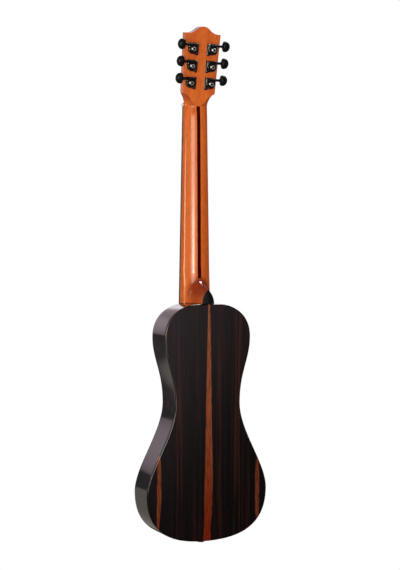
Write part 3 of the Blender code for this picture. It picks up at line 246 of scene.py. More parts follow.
def matchedBack():
    paint = Paint("matchedBack")
    across, depth, along = paint.axes()
    colour, lines = stripes(paint, across, along)
    ripple = (paint.noise(1, 3, 0.6, (60, 10, 130)) - 0.5) * 0.0016
    soft = ebony["soft"]
    treble = across + ripple
    bass = 0 - across + ripple
    core = (along.follow(*trebleEdge) - treble).above(0, soft) * (along.follow(*bassEdge) - bass).above(0, soft)

    def between(out, edges):
        return (out - along.follow(*edges["inner"])).above(0, soft * 1.3) * (along.follow(*edges["outer"]) - out).above(0, soft)

    side = between(treble, trebleSide) * along.within(-0.727, -0.586, 0.005)
    side = side + between(bass, bassSide) * along.within(-0.706, -0.606, 0.006) * 0.85
    fibre = paint.noise(1, 3, 0.65, (560, 30, 60)).above(0.55, 0.07)
    sap = paint.mix(ebony["lowSap"], ebony["sap"], along.above(-0.60, 0.16))
    sap = paint.mix(sap, ebony["ground"], fibre * 0.5)
    colour = paint.mix(colour, sap, core)
    colour = paint.mix(colour, ebony["sideSap"], side * (1 - fibre * 0.6))
    return paint.done(Base_Color=colour, Roughness=0.5 + lines * 0.05, Specular_IOR_Level=0.0, Coat_Weight=1.0,
                      Coat_Roughness=0.12, Normal=paint.bump(lines, 0.02, 0.0002))


def plainWood(name, light, dark, gloss, coat=0.0, shine=0.5):
    paint = Paint(name)
    flow = paint.noise(1, 4, 0.6, (420, 420, 12))
    pores = paint.noise(1, 2, 0.6, (1500, 1500, 40)).above(0.62, 0.06)
    colour = paint.mix(light, dark, flow.above(0.52, 0.2) * 0.8 + pores * 0.2)
    return paint.done(Base_Color=colour, Roughness=gloss + flow * 0.1, Specular_IOR_Level=shine, Coat_Weight=coat,
                      Coat_Roughness=0.08, Normal=paint.bump(pores, 0.08, 0.0002))


spruce = {"pale": (0.70, 0.44, 0.185), "winter": (0.50, 0.26, 0.085), "pitch": 0.0014}


def spruceTop():
    paint = Paint("spruceTop")
    across, depth, along = paint.axes()
    sway = (paint.noise(7, 2, 0.5, (1, 1, 0.4)) - 0.5) * 0.004
    line = ((across.size() + sway) / spruce["pitch"]).math("FRACT", (across.size() + sway) / spruce["pitch"])
    silk = paint.noise(1, 3, 0.6, (90, 30, 700))
    colour = paint.mix(spruce["pale"], spruce["winter"], line.above(0.72, 0.2) * 0.55 + silk.above(0.6, 0.2) * 0.12)
    return paint.done(Base_Color=colour, Roughness=0.36 + silk * 0.06, Coat_Weight=1.0, Coat_Roughness=0.08,
                      Normal=paint.bump(line, 0.04, 0.0002))


def plainMetal(name, light, dark, rough):
    paint = Paint(name)
    grain = paint.noise(1400, 3, 0.6)
    colour = paint.mix(light, dark, grain.above(0.5, 0.3))
    return paint.done(Base_Color=colour, Metallic=1.0, Roughness=rough + grain * 0.08,
                      Normal=paint.bump(grain, 0.03, 0.0001))


def moulded(name, light, dark, rough, coat=0.0, shine=0.5, clear=1.5):
    paint = Paint(name)
    grain = paint.noise(2600, 2, 0.5)
    patch = paint.noise(160, 3, 0.6)
    colour = paint.mix(light, dark, patch.above(0.5, 0.3))
    return paint.done(Base_Color=colour, Roughness=rough + grain * 0.1, Coat_Weight=coat, Coat_Roughness=0.08,
                      Specular_IOR_Level=shine, Coat_IOR=clear, Normal=paint.bump(grain, 0.05, 0.0001))


def motherOfPearl():
    paint = Paint("motherOfPearl")
    swirl = paint.noise(420, 4, 0.6)
    colour = paint.ramp(swirl, [(0.35, (0.80, 0.82, 0.80)), (0.5, (0.62, 0.74, 0.72)), (0.62, (0.84, 0.76, 0.78))])
    return paint.done(Base_Color=colour, Roughness=0.18 + swirl * 0.12, Coat_Weight=1.0, Coat_Roughness=0.05)


finishes = {
    "mahogany": mahoganyGloss(),
    "striped_ebony": stripedEbony(),
    "dark_wood": plainWood("darkRosewood", (0.030, 0.017, 0.013), (0.012, 0.008, 0.007), 0.42),
    "spruce": spruceTop(),
    "inner_wood": plainWood("bareSpruce", (0.62, 0.43, 0.23), (0.50, 0.32, 0.15), 0.6),
    "black_plastic": moulded("blackPlastic", (0.007, 0.007, 0.008), (0.011, 0.011, 0.012), 0.32, 0.5, 0.2),
    "bone": moulded("whiteBone", (0.84, 0.81, 0.73), (0.78, 0.74, 0.65), 0.3),
    "black_metal": moulded("blackEnamel", (0.004, 0.004, 0.005), (0.007, 0.007, 0.008), 0.3, 1.0, 0.0, 2.0),
    "steel": plainMetal("plainSteel", (0.62, 0.62, 0.64), (0.5, 0.5, 0.52), 0.22),
    "bronze": plainMetal("woundBronze", (0.62, 0.38, 0.17), (0.45, 0.26, 0.11), 0.28),
    "battery_skin": moulded("batterySkin", (0.06, 0.06, 0.07), (0.10, 0.10, 0.11), 0.3),
}
matchedBackWood = matchedBack()
darkStrip = plainWood("redBlackStrip", (0.042, 0.0016, 0.0006), (0.024, 0.001, 0.0004), 0.5, 0.0, 0.0)
blackEdge = plainWood("blackEdge", (0.0075, 0.0065, 0.0068), (0.005, 0.0045, 0.005), 0.5, 1.0, 0.0)
# Light grey for the rims round the tuners' wheel screws: a painted reflection
paintedGlintGrey = moulded("paintedGlintGrey", (0.17, 0.17, 0.18), (0.25, 0.25, 0.26), 0.4, 0.0, 0.5)
knobBlack = moulded("knobBlack", (0.0045, 0.0045, 0.005), (0.007, 0.007, 0.0075), 0.34, 0.12, 0.05)
pearl = motherOfPearl()
for part in frame["record"]["subparts"]:
    node = nodes[part["node"]]
    node.data.materials.clear()
    node.data.materials.append(finishes[part["material_slot"]])


# Shapes
upright = Matrix.Identity(4)
hair = 0.00004


def spread(low, high, steps):
    return [low + (high - low) * step / steps for step in range(steps + 1)]


def arc(centre, radius, first, last, steps):  # points round a centre, the angles in degrees
    turns = [math.radians(turn) for turn in spread(first, last, steps)]
    return [(centre[0] + radius * math.cos(turn), centre[1] + radius * math.sin(turn)) for turn in turns]


def smoothStep(share):
    share = min(max(share, 0), 1)
    return share * share * (3 - 2 * share)


def through(stops, place):  # a smooth value between stops, each a place and a value
    for (low, first), (high, last) in zip(stops, stops[1:]):
        if place <= high:
            return first + (last - first) * max(place - low, 0) / (high - low)
    return stops[-1][1]


def bezier(curve, t):  # a point on the curve and the direction that points out of it
    a, b, c, d = (Vector(corner) for corner in curve)
    u = 1 - t
    point = u ** 3 * a + 3 * u * u * t * b + 3 * u * t * t * c + t ** 3 * d
    slope = u * u * (b - a) + 2 * u * t * (c - b) + t * t * (d - c)
    slope.normalize()
    return point, Vector((slope.y, -slope.x))


def drawnIn(face, inset):  # an outline moved inwards by an inset
    area = sum(x1 * z2 - x2 * z1 for (x1, z1), (x2, z2) in zip(face, face[1:] + face[:1]))
    sign = 1 if area > 0 else -1
    moved = []
    for index, corner in enumerate(face):
        here = Vector(corner)
        first = (here - Vector(face[index - 1])).normalized()
        second = (Vector(face[(index + 1) % len(face)]) - here).normalized()
        inward = Vector((-first.y - second.y, first.x + second.x)).normalized() * sign
        lean = max(inward.dot(Vector((-first.y, first.x)) * sign), 0.35)
        moved.append(tuple(here + inward * (inset / lean)))
    return moved


class Form:  # the closed surfaces that make up one piece
    def __init__(self):
        self.points = []
        self.faces = []

    def loft(self, rings, around=False):
        start = len(self.points)
        size = len(rings[0])
        count = len(rings)
        for ring in rings:
            self.points += [tuple(point) for point in ring]
        for row in range(count if around else count - 1):
            low = start + row * size
            high = start + (row + 1) % count * size
            for side in range(size):
                after = (side + 1) % size
                self.faces.append((low + side, low + after, high + after, high + side))
        if not around:
            self.faces.append(tuple(range(start, start + size)))
            self.faces.append(tuple(range(start + (count - 1) * size, start + count * size)))
        return self

    def turned(self, profile, place=upright, sides=40, around=False):  # radius and height about the local y axis
        turns = spread(0, 2 * math.pi, sides)[:-1]
        rings = [[place @ Vector((radius * math.cos(turn), height, radius * math.sin(turn))) for turn in turns]
                 for radius, height in profile]
        return self.loft(rings, around)

    def slab(self, face, low, high, roundLow=0.0, roundHigh=0.0, place=upright, steps=3):
        # The face is an outline in local x and z; low and high are depths in local y
        rows = []
        for edge, step in [(roundLow, step) for step in range(steps + 1 if roundLow else 1)]:
            turn = math.pi / 2 * step / steps
            rows.append((edge * (1 - math.sin(turn)), low + edge * (1 - math.cos(turn))))
        for edge, step in [(roundHigh, step) for step in range(steps + 1 if roundHigh else 1)][::-1]:
            turn = math.pi / 2 * step / steps
            rows.append((edge * (1 - math.sin(turn)), high - edge * (1 - math.cos(turn))))
        return self.loft([[place @ Vector((x, depth, z)) for x, z in (drawnIn(face, inset) if inset else face)]
                          for inset, depth in rows])

    def block(self, low, high, place=upright):
        face = [(low[0], low[2]), (high[0], low[2]), (high[0], high[2]), (low[0], high[2])]
        return self.slab(face, low[1], high[1], place=place)

    def rod(self, start, end, radius, sides=24):
        run = Vector(end) - Vector(start)
        place = Matrix.Translation(start) @ Vector((0, 1, 0)).rotation_difference(run).to_matrix().to_4x4()
        return self.turned([(radius, 0), (radius, run.length)], place, sides)

    def tube(self, route, radius, sides=10):
        rings = []
        across = Vector((0.91, 0.22, 0.31))
        for index, point in enumerate(route):
            run = (route[min(index + 1, len(route) - 1)] - route[max(index - 1, 0)]).normalized()
            across = (across - run * across.dot(run)).normalized()
            other = run.cross(across)
            rings.append([point + radius * (math.cos(turn) * across + math.sin(turn) * other)
                          for turn in spread(0, 2 * math.pi, sides)[:-1]])
        return self.loft(rings)

    def mesh(self):
        made = bpy.data.meshes.new("form")
        made.from_pydata(self.points, [], self.faces)
        return tidied(made)

    def cut(self, *tools, operation="DIFFERENCE"):
        return cutMesh(self.mesh(), *tools, operation=operation)


def cutMesh(mesh, *tools, operation="DIFFERENCE"):  # the mesh that is left once the tools are cut out of it
    made = bpy.data.objects.new("carved", mesh)
    bpy.context.scene.collection.objects.link(made)
    for tool in tools:
        cutter = bpy.data.objects.new("cutter", tool.mesh())
        bpy.context.scene.collection.objects.link(cutter)
        change = made.modifiers.new("cut", "BOOLEAN")
        change.solver = "EXACT"
        change.operation = operation
        change.object = cutter
        applied(made)
        bpy.data.objects.remove(cutter)
    left = made.data
    bpy.data.objects.remove(made)
    return left


def tidied(mesh):
    shape = bmesh.new()
    shape.from_mesh(mesh)
    bmesh.ops.remove_doubles(shape, verts=shape.verts, dist=0.000002)
    bmesh.ops.recalc_face_normals(shape, faces=shape.faces)
    shape.to_mesh(mesh)
    shape.free()
    return mesh


def applied(made):
    settled = made.evaluated_get(bpy.context.evaluated_depsgraph_get())
    made.data = bpy.data.meshes.new_from_object(settled)
    made.modifiers.clear()


def together(*meshes):
    shape = bmesh.new()
    for mesh in meshes:
        shape.from_mesh(mesh.mesh() if isinstance(mesh, Form) else mesh)
    whole = bpy.data.meshes.new("whole")
    shape.to_mesh(whole)
    shape.free()
    return whole


def put(name, shape, slot, body="guitar", instead=(), finish=None, sharp=38, bevel=0.0, place=upright):
    made = bpy.data.objects.new(name, shape.mesh() if isinstance(shape, Form) else shape)
    bpy.context.scene.collection.objects.link(made)
    made.matrix_world = place
    if bevel:
        soften = made.modifiers.new("soften", "BEVEL")
        soften.width = bevel
        soften.segments = 2
        soften.limit_method = "ANGLE"
        soften.angle_limit = math.radians(sharp)
        applied(made)
    made.data.name = name
    made.data.materials.clear()
    made.data.materials.append(finish or finishes[slot])
    made.data.shade_smooth()
    made.data.set_sharp_from_angle(angle=math.radians(sharp))
    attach(made, body)
    if instead:
        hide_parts(*instead)
    return made


# Places that the frame gives
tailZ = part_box("binding_back")[0].z
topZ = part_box("binding_back")[1].z
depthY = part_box("binding_back")[1].y
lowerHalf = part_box("binding_back")[1].x
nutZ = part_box("nut")[0].z
saddleZ = (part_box("saddle")[0].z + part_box("saddle")[1].z) / 2
gap = 0.0003
runGap = 0.0004
middleY = depthY / 2

# Body
shell = {"topToWaist": 0.1664, "waistHalf": 0.0592, "topToUpper": 0.0550, "upperHalf": 0.0781, "flatHalf": 0.024,
         "tailToLower": 0.0827, "tailRound": 0.057, "lowerBelow": 0.0679, "lowerAbove": 0.0416,
         "waistBelow": 0.0485, "waistAbove": 0.0537, "upperBelow": 0.0394, "upperAbove": 0.0491,
         "shoulder": 0.0041, "binding": 0.002, "bindingTall": 0.006, "rib": 0.002, "plate": 0.0026,
         "edge": 0.0017, "steps": 28}
hole = {"radius": 0.029, "fromBoard": 0.004, "ease": 0.0006, "inlay": (0.0335, 0.0385), "line": 0.0006,
        "rise": 0.00005, "purfling": 0.0009}


def bodyCurves():
    lowerZ = tailZ + shell["tailToLower"]
    waistZ = topZ - shell["topToWaist"]
    upperZ = topZ - shell["topToUpper"]
    low, waist, high = (lowerHalf, lowerZ), (shell["waistHalf"], waistZ), (shell["upperHalf"], upperZ)
    return [((0, tailZ), (shell["tailRound"], tailZ), (lowerHalf, lowerZ - shell["lowerBelow"]), low),
            (low, (lowerHalf, lowerZ + shell["lowerAbove"]), (waist[0], waistZ - shell["waistBelow"]), waist),
            (waist, (waist[0], waistZ + shell["waistAbove"]), (high[0], upperZ - shell["upperBelow"]), high),
            (high, (high[0], upperZ + shell["upperAbove"]), (shell["flatHalf"] + shell["shoulder"], topZ),
             (shell["flatHalf"], topZ))]


def halfStations():  # from the tail up the treble side to the middle of the top edge
    stations = []
    for number, curve in enumerate(bodyCurves()):
        for t in spread(0, 1, shell["steps"])[0 if number == 0 else 1:]:
            stations.append(bezier(curve, t))
    for x in spread(shell["flatHalf"], 0, 5)[1:]:
        stations.append((Vector((x, topZ)), Vector((0, 1))))
    return stations


halfWay = halfStations()
allRound = halfWay + [(Vector((-spot.x, spot.y)), Vector((-out.x, out.y))) for spot, out in halfWay[-2:0:-1]]


def bodyOutline(inset):
    return [tuple(spot - inset * out) for spot, out in allRound]


def swept(section, stations, side=1):  # the section is pairs of inset and depth
    return [[Vector((side * (spot.x - inset * out.x), depth, spot.y - inset * out.y)) for inset, depth in section]
            for spot, out in stations]


def bindingSection(face, step):  # a strip whose outer corner is rounded; step points into the body
    width, tall, edge = shell["binding"], shell["bindingTall"], shell["edge"]
    section = [(width, face), (width, face + step * tall), (0, face + step * tall)]
    for turn in spread(0, math.pi / 2, 6):
        section.append((edge * (1 - math.cos(turn)), face + step * edge * (1 - math.sin(turn))))
    return section


def ringFlat(inner, outer, low, high):  # a flat ring between two outlines with as many points
    rows = ((outer, low), (outer, high), (inner, high), (inner, low))
    return Form().loft([[Vector((x, depth, z)) for x, z in face] for face, depth in rows], around=True)


def bodyShell():
    width, tall = shell["binding"], shell["bindingTall"]
    back = Form().loft(swept(bindingSection(depthY, -1), allRound), around=True)
    put("back_binding", back, "striped_ebony", instead=["binding_back"], finish=matchedBackWood, sharp=60)
    top = Form().loft(swept(bindingSection(0, 1), allRound), around=True)
    put("top_binding", top, "dark_wood", instead=["binding_top"], finish=blackEdge, sharp=60)
    plate = Form().slab(bodyOutline(width + hair), depthY - shell["plate"], depthY)
    put("back_leaves", plate, "striped_ebony", instead=["back_plate"], finish=matchedBackWood)
    low, high = tall + hair, depthY - tall - hair
    section = [(0, low), (0, high), (shell["rib"], high), (shell["rib"], low)]
    put("treble_rib", Form().loft(swept(section, halfWay)).cut(jackHole()), "striped_ebony", instead=["rib_treble"])
    bass = Form().loft(swept(section, halfWay, -1)).cut(jackHole(), *preampRoom(gap))
    put("bass_rib", bass, "striped_ebony", instead=["rib_bass"])


def soundboard():
    centre = Vector((0, holeZ))
    edge = bodyOutline(shell["binding"] + hair)
    rings = []
    turns = [math.atan2(z - centre.y, x) for x, z in edge]

    def circle(radius):
        return [(radius * math.cos(turn), centre.y + radius * math.sin(turn)) for turn in turns]

    thick, ease = shell["plate"], hole["ease"]
    for face, depth in ((edge, 0), (edge, thick), (circle(hole["radius"]), thick), (circle(hole["radius"]), ease),
                        (circle(hole["radius"] + ease * 0.3), ease * 0.3), (circle(hole["radius"] + ease), 0)):
        rings.append([Vector((x, depth, z)) for x, z in face])
    board = Form().loft(rings, around=True)
    put("soundboard_leaves", board.cut(leadHole()), "spruce", instead=["soundboard"])
    inner, outer = hole["inlay"]
    line, rise = hole["line"], hole["rise"]
    put("rosette_inlay", ringFlat(circle(inner + line), circle(outer - line), -rise, thick / 4), "bone", finish=pearl)
    lines = [ringFlat(circle(radius), circle(radius + line), -rise, thick / 4)
             for radius in (inner - 3 * line, inner, outer - line, outer + 2 * line)]
    put("rosette_lines", together(*lines), "dark_wood", finish=blackEdge)
    width = shell["binding"] + hair
    purfling = ringFlat(bodyOutline(width + hole["purfling"]), bodyOutline(width), -rise, thick / 4)
    put("top_purfling", purfling, "bone")


# Neck and head
stem = {"nutDeep": 0.0127, "jointDeep": 0.0173, "ridge": 0.0006, "heelStart": 0.0422, "capLong": 0.024,
        "capHalf": 0.0107, "capThick": 0.002, "nutWide": 0.043, "jointWide": 0.054, "arcLow": 10, "arcHigh": 22,
        "heelSteps": 14, "coveSteps": 40, "blockHalf": 0.0187, "archFrom": 0.0148, "coveStart": 0.0415,
        "cove": 2.3, "stripHalf": 0.0030, "stripDeep": 0.002, "stripToNut": 0.0014,
        "stripCrown": 0.00012, "swellNut": 0.0017, "swellJoint": 0.0029, "swellRun": 0.06, "swellHeel": 0.0022,
        "heelFrom": 0.053, "heelRun": 0.024}
head = {"angle": math.radians(9.7), "wood": 0.0114, "plate": 0.0017, "tongue": 0.002, "flare": 0.0205,
        "cheek": 0.0248, "flareHalf": 0.0292, "corner": 0.1191, "cornerHalf": 0.0321, "crown": 0.0116,
        "topRound": 0.013, "sideRound": 0.020, "sideDip": 0.0015, "cheekSteps": 36, "past": 0.01, "step": 0.0001,
        "crease": 32, "creaseRun": 0.0022, "tongueShares": ((-0.002, 0.0), (-0.0012, 0.13), (0.0006, 0.27), (0.0030, 0.40), (0.0060, 0.51),
                                       (0.0100, 0.61), (0.0137, 0.71), (0.0172, 0.84), (0.0205, 0.985))}
truss = {"radius": 0.00275, "deep": 0.0055, "pocketHalf": 0.0045, "pocketLong": 0.024, "pocketRise": 0.0015,
         "run": 0.004, "toJoint": 0.004, "coverHalf": 0.0095, "coverLong": 0.034, "shoulder": 0.021,
         "coverRise": 0.0019, "coverThick": 0.0015, "coverEdge": 0.0006}
nutThick = 0.005
headThick = head["wood"] + gap + head["plate"]
heelDeep = depthY - stem["capThick"] - gap
headFrame = Matrix.Translation((0, stem["nutDeep"], nutZ - head["tongue"])) @ Matrix.Rotation(-head["angle"], 4, "X")
headFrame = headFrame @ Matrix.Translation((0, 0, head["tongue"]))


def alongNeck(z):
    return (nutZ - z) / (nutZ - topZ)


def neckHalf(z):
    return (stem["nutWide"] + (stem["jointWide"] - stem["nutWide"]) * alongNeck(z)) / 2


def neckDeep(z):
    share = alongNeck(z)
    swell = stem["swellNut"] + (stem["swellJoint"] - stem["swellNut"]) * share
    straight = stem["nutDeep"] + (stem["jointDeep"] - stem["nutDeep"]) * share
    toHeel = smoothStep((topZ + stem["heelFrom"] - z) / stem["heelRun"])
    return straight + swell * smoothStep(share / stem["swellRun"]) + stem["swellHeel"] * toHeel


def capHalf(rise):
    radius = (stem["capLong"] ** 2 + stem["capHalf"] ** 2) / (2 * stem["capHalf"])
    return max(math.sqrt(radius ** 2 - rise ** 2) - radius + stem["capHalf"], stem["ridge"])


def headHalf(station):
    if station <= 0:
        return stem["nutWide"] / 2
    if station < head["flare"]:
        return stem["nutWide"] / 2 + (head["flareHalf"] - stem["nutWide"] / 2) * (station / head["flare"]) ** 2
    slope = (head["cornerHalf"] - head["flareHalf"]) / (head["corner"] - head["flare"])
    return head["flareHalf"] + slope * (station - head["flare"])


def neckRing(z, half, flat, front, back, crease=0.0):  # the flat's edge is a crease of so many degrees
    last = math.radians(90 - crease)
    right = []
    for turn in spread(0, last / 2, stem["arcLow"])[:-1] + spread(last / 2, last, stem["arcHigh"]):
        side = (math.cos(turn) - math.cos(last)) / (1 - math.cos(last))
        right.append((flat + (half - flat) * side, front + (back - front) * math.sin(turn) / math.sin(last)))
    return [Vector((x, y, z)) for x, y in right + [(-x, y) for x, y in reversed(right)]]


def evenly(line, count):  # points at even steps along a line
    runs = [0]
    for first, second in zip(line, line[1:]):
        runs.append(runs[-1] + (second - first).length)
    points = []
    for place in spread(0, runs[-1], count):
        after = next((index for index in range(1, len(runs) - 1) if runs[index] > place), len(runs) - 1)
        share = (place - runs[after - 1]) / (runs[after] - runs[after - 1])
        points.append(line[after - 1].lerp(line[after], share))
    return points


def blockHalf(rise, level):  # half the heel block's width at a rise, on a level from 0 at its foot to 1 at its cap
    high = stem["coveStart"] - (stem["coveStart"] - stem["capLong"]) * level ** (1 / stem["cove"])
    wide = stem["capHalf"] + (stem["blockHalf"] - stem["capHalf"]) * (1 - level ** 0.5) ** 1.5
    up = max(rise - stem["archFrom"], 0) / (high - stem["archFrom"])
    soft = wide * math.sqrt(max(1 - up * up, 0))
    pointed = wide * capHalf(min(rise / high, 1) * stem["capLong"]) / stem["capHalf"]
    return soft + (pointed - soft) * min(level / 0.5, 1)


def heelRing(rise):  # the neck's own round, with the heel's block standing on its ridge
    z = topZ + rise
    ridge = stem["ridge"]
    half, deep = neckHalf(z) - ridge, neckDeep(z)
    share = min(max((stem["coveStart"] - rise) / (stem["coveStart"] - stem["capLong"]), 0), 1)
    top = share ** stem["cove"]
    last = math.acos(max(blockHalf(rise, 0) - ridge, 3 * ridge) / half)
    right = [Vector((ridge + half * math.cos(turn), deep * math.sin(turn)))
             for turn in spread(0, math.pi / 4, stem["arcLow"])]
    line = [Vector((ridge + half * math.cos(turn), deep * math.sin(turn))) for turn in spread(math.pi / 4, last, 12)]
    for step in spread(0, 1, 40)[1:]:
        level = top * step ** 2
        x = max(blockHalf(rise, level), 1.3 * ridge)
        under = deep * math.sqrt(max(1 - ((x - ridge) / half) ** 2, 0))
        line.append(Vector((x, under + (heelDeep - under) * level)))
    right = right[:-1] + evenly(line, stem["arcHigh"] - 1) + [Vector((ridge, line[-1].y))]
    return [Vector((x, y, z)) for x, y in right + [(-x, y) for x, y in reversed(right)]]


def headRing(station, underBoard):
    back = headFrame @ Vector((0, 0, station))
    front = 0 if underBoard else back.y - head["wood"] / math.cos(head["angle"])
    half = headHalf(station)
    flat = max(half * through(head["tongueShares"], station), stem["ridge"])
    crease = head["crease"] * smoothStep((station + head["tongue"]) / head["creaseRun"])
    ring = neckRing(back.z, half, flat, front * smoothStep(station / head["flare"]), back.y, crease)
    return [Vector((x, max(y, front), z)) for x, y, z in ring]


def crownLine(steps=24):
    top = head["corner"] + head["crown"]
    dip = (head["cornerHalf"] - head["sideRound"], head["corner"] - head["sideDip"])
    curve = ((0, top), (head["topRound"], top), dip, (head["cornerHalf"], head["corner"]))
    return [tuple(bezier(curve, t)[0]) for t in spread(0, 1, steps)]


def aboveCrown():
    right = crownLine()
    wide = head["cornerHalf"] + head["past"]
    top = head["corner"] + head["crown"] + 2 * head["past"]
    face = right + [(wide, head["corner"]), (wide, top), (-wide, top), (-wide, head["corner"])]
    face += [(-x, station) for x, station in reversed(right[1:])]
    return Form().slab(face, -headThick - head["past"], head["past"], place=headFrame)


def sleeveHole(side, row, radius):
    place = tunerFrame(side, row)
    return Form().turned([(radius, -headThick - head["past"]), (radius, head["past"])], place, 32)


def stripForm(margin, rise):
    low, high = topZ + stem["heelStart"] - margin, nutZ - stem["stripToNut"] + margin
    half, floor = stem["stripHalf"] + margin, stem["stripDeep"] + margin
    rings = []
    for z in spread(low, high, 12):
        top = neckDeep(z) + rise
        crest = [(half * math.cos(turn), top - stem["stripCrown"] * math.cos(turn) ** 2)
                 for turn in spread(0, math.pi, 10)]
        rings.append([Vector((x, y, z)) for x, y in [(-half, neckDeep(z) - floor), (half, neckDeep(z) - floor)] + crest])
    return Form().loft(rings)


def trussPocket():
    low = nutZ + nutThick + truss["pocketRise"]
    half = truss["pocketHalf"]
    return Form().block((-half, -head["past"], low), (half, truss["deep"] + half, low + truss["pocketLong"]))


def trussChannel():
    half = truss["radius"] + gap
    return Form().block((-half, -head["past"], topZ + truss["toJoint"] - gap),
                        (half, truss["deep"] + half, nutZ + nutThick + truss["run"]))


def neckRings():
    rings = [heelRing(rise) for rise in spread(gap, stem["capLong"], stem["heelSteps"])]
    for step in reversed(range(1, stem["coveSteps"])):
        rings.append(heelRing(stem["coveStart"] + (stem["capLong"] - stem["coveStart"]) * step / stem["coveSteps"]))
    past = topZ + stem["coveStart"]
    for z in spread(past + 0.0006, past + 0.0120, 8) + spread(past + 0.020, nutZ - 0.004, 38):
        rings.append(neckRing(z, neckHalf(z), stem["ridge"], 0, neckDeep(z)))
    seat = (nutThick + gap + head["tongue"]) / math.cos(head["angle"]) - head["tongue"]
    cheek = spread(-head["tongue"], head["cheek"], head["cheekSteps"])
    rings += [headRing(station, True) for station in cheek if station < seat - head["step"]]
    rings += [headRing(seat, True), headRing(seat + head["step"], False)]
    rings += [headRing(station, False) for station in cheek if station > seat + 2 * head["step"]]
    rings.append(headRing(head["corner"] + head["crown"] + head["past"], False))
    return rings


def neck():
    sleeves = [sleeveHole(side, row, gear["sleeve"] + gap) for side in (1, -1) for row in range(3)]
    shape = Form().loft(neckRings())
    mesh = shape.cut(aboveCrown(), stripForm(gap / 3, 0.01), trussChannel(), trussPocket(), *sleeves)
    put("neck_wood", mesh, "mahogany", instead=["neck"], sharp=14)
    put("neck_inlay", stripForm(0, 0.00012), "dark_wood", instead=["neck_strip"], finish=darkStrip)
    right = [(capHalf(rise), topZ + max(rise, gap)) for rise in spread(0, stem["capLong"], 24)]
    arch = right[:-1] + [(0, topZ + stem["capLong"])] + [(-x, z) for x, z in reversed(right[:-1])]
    cap = Form().slab(arch, depthY - stem["capThick"], depthY, 0, 0.0008, steps=4)
    put("heel_plate", cap, "black_plastic", instead=["heel_cap"], finish=knobBlack)


def headFront():
    low = nutThick + 3 * gap
    right = [(headHalf(station), station) for station in spread(low, head["flare"], 12)] + crownLine()[::-1]
    face = right + [(-x, station) for x, station in reversed(right[:-1])]
    plate = Form().slab(face, -headThick, -head["wood"] - gap, 0.0004, 0, headFrame)
    sleeves = [sleeveHole(side, row, gear["sleeve"] + gap) for side in (1, -1) for row in range(3)]
    put("head_veneer", plate.cut(trussPocket(), *sleeves), "dark_wood", instead=["headplate"])
    low += truss["coverRise"] - 3 * gap
    half, shoulder = truss["coverHalf"], low + truss["shoulder"]
    right = [(half, low), (half, shoulder)]
    for turn in spread(0, math.pi / 2, 14)[1:-1]:
        right.append((half * math.cos(turn), shoulder + (truss["coverLong"] - truss["shoulder"]) * math.sin(turn)))
    arch = right + [(0, low + truss["coverLong"])] + [(-x, station) for x, station in reversed(right)]
    top = -headThick - gap
    cover = Form().slab(arch, top - truss["coverThick"], top, truss["coverEdge"], 0, headFrame)
    put("truss_cover", cover, "black_plastic", instead=["truss_rod_cover"])
    screws, slots, crossSlots = Form(), Form(), Form()
    for x, station in ((0.0066, low + 0.003), (-0.0066, low + 0.003), (0, low + truss["coverLong"] - 0.004)):
        place = headFrame @ Matrix.Translation((x, top - truss["coverThick"], station))
        screws.turned([(0.00005, -0.0005), (0.0007, -0.00045), (0.0013, -0.0002), (0.0015, 0.0002)], place, 20)
        slots.block((-0.0011, -0.001, -0.00018), (0.0011, -0.00022, 0.00018), place)
        crossSlots.block((-0.00018, -0.001, -0.0011), (0.00018, -0.00022, 0.0011), place)
    put("cover_screws", screws.cut(slots, crossSlots), "steel", sharp=30)


# Tuning machines
gear = {"postOut": 0.0184, "nearRow": 0.0367, "pitch": 0.02815, "sleeve": 0.0047, "post": 0.003, "shaftUp": 0.0072,
        "shaftHigh": 0.005, "inner": 0.0105, "outer": 0.0112, "top": 0.0104, "dome": 0.0083, "domeHigh": 0.0094, "spring": 0.0032,
        "foot": 0.0023, "earIn": 0.0080, "earDown": 0.0078, "ear": 0.0026, "barHalf": 0.0032, "barHigh": 0.0084,
        "wheel": 0.0044, "wheelThick": 0.0032, "worm": 0.0023, "wormLong": 0.011, "washer": 0.007, "hex": 0.0056,
        "winding": 0.0036, "windingStart": 0.0045, "postRise": 0.014, "turns": 3, "windingPitch": 0.0014,
        "buttonOut": 0.0412, "buttonLong": 0.018, "buttonWide": 0.0122, "buttonThick": 0.009, "shaft": 0.0023}
strung = {"nutSpread": 0.0355, "saddleSpread": 0.050, "first": 0.00018, "sixth": 0.0006}


def stringRadius(number):
    return strung["first"] + (strung["sixth"] - strung["first"]) * number / 5


def tunerFrame(side, row):
    station = gear["nearRow"] + row * gear["pitch"]
    return headFrame @ Matrix.Translation((side * gear["postOut"], 0, station)) @ Matrix.Scale(side, 4, (1, 0, 0))


def screwHead(x, z, base, radius, rise):
    place = Matrix.Translation((x, base, z))
    profile = [(radius, -0.0004), (radius, rise * 0.4), (radius * 0.8, rise * 0.85), (radius * 0.4, rise)]
    slot = Form().block((-radius * 1.2, rise * 0.45, -radius * 0.14), (radius * 1.2, rise * 2, radius * 0.14), place)
    return Form().turned(profile, place, 24).cut(slot)


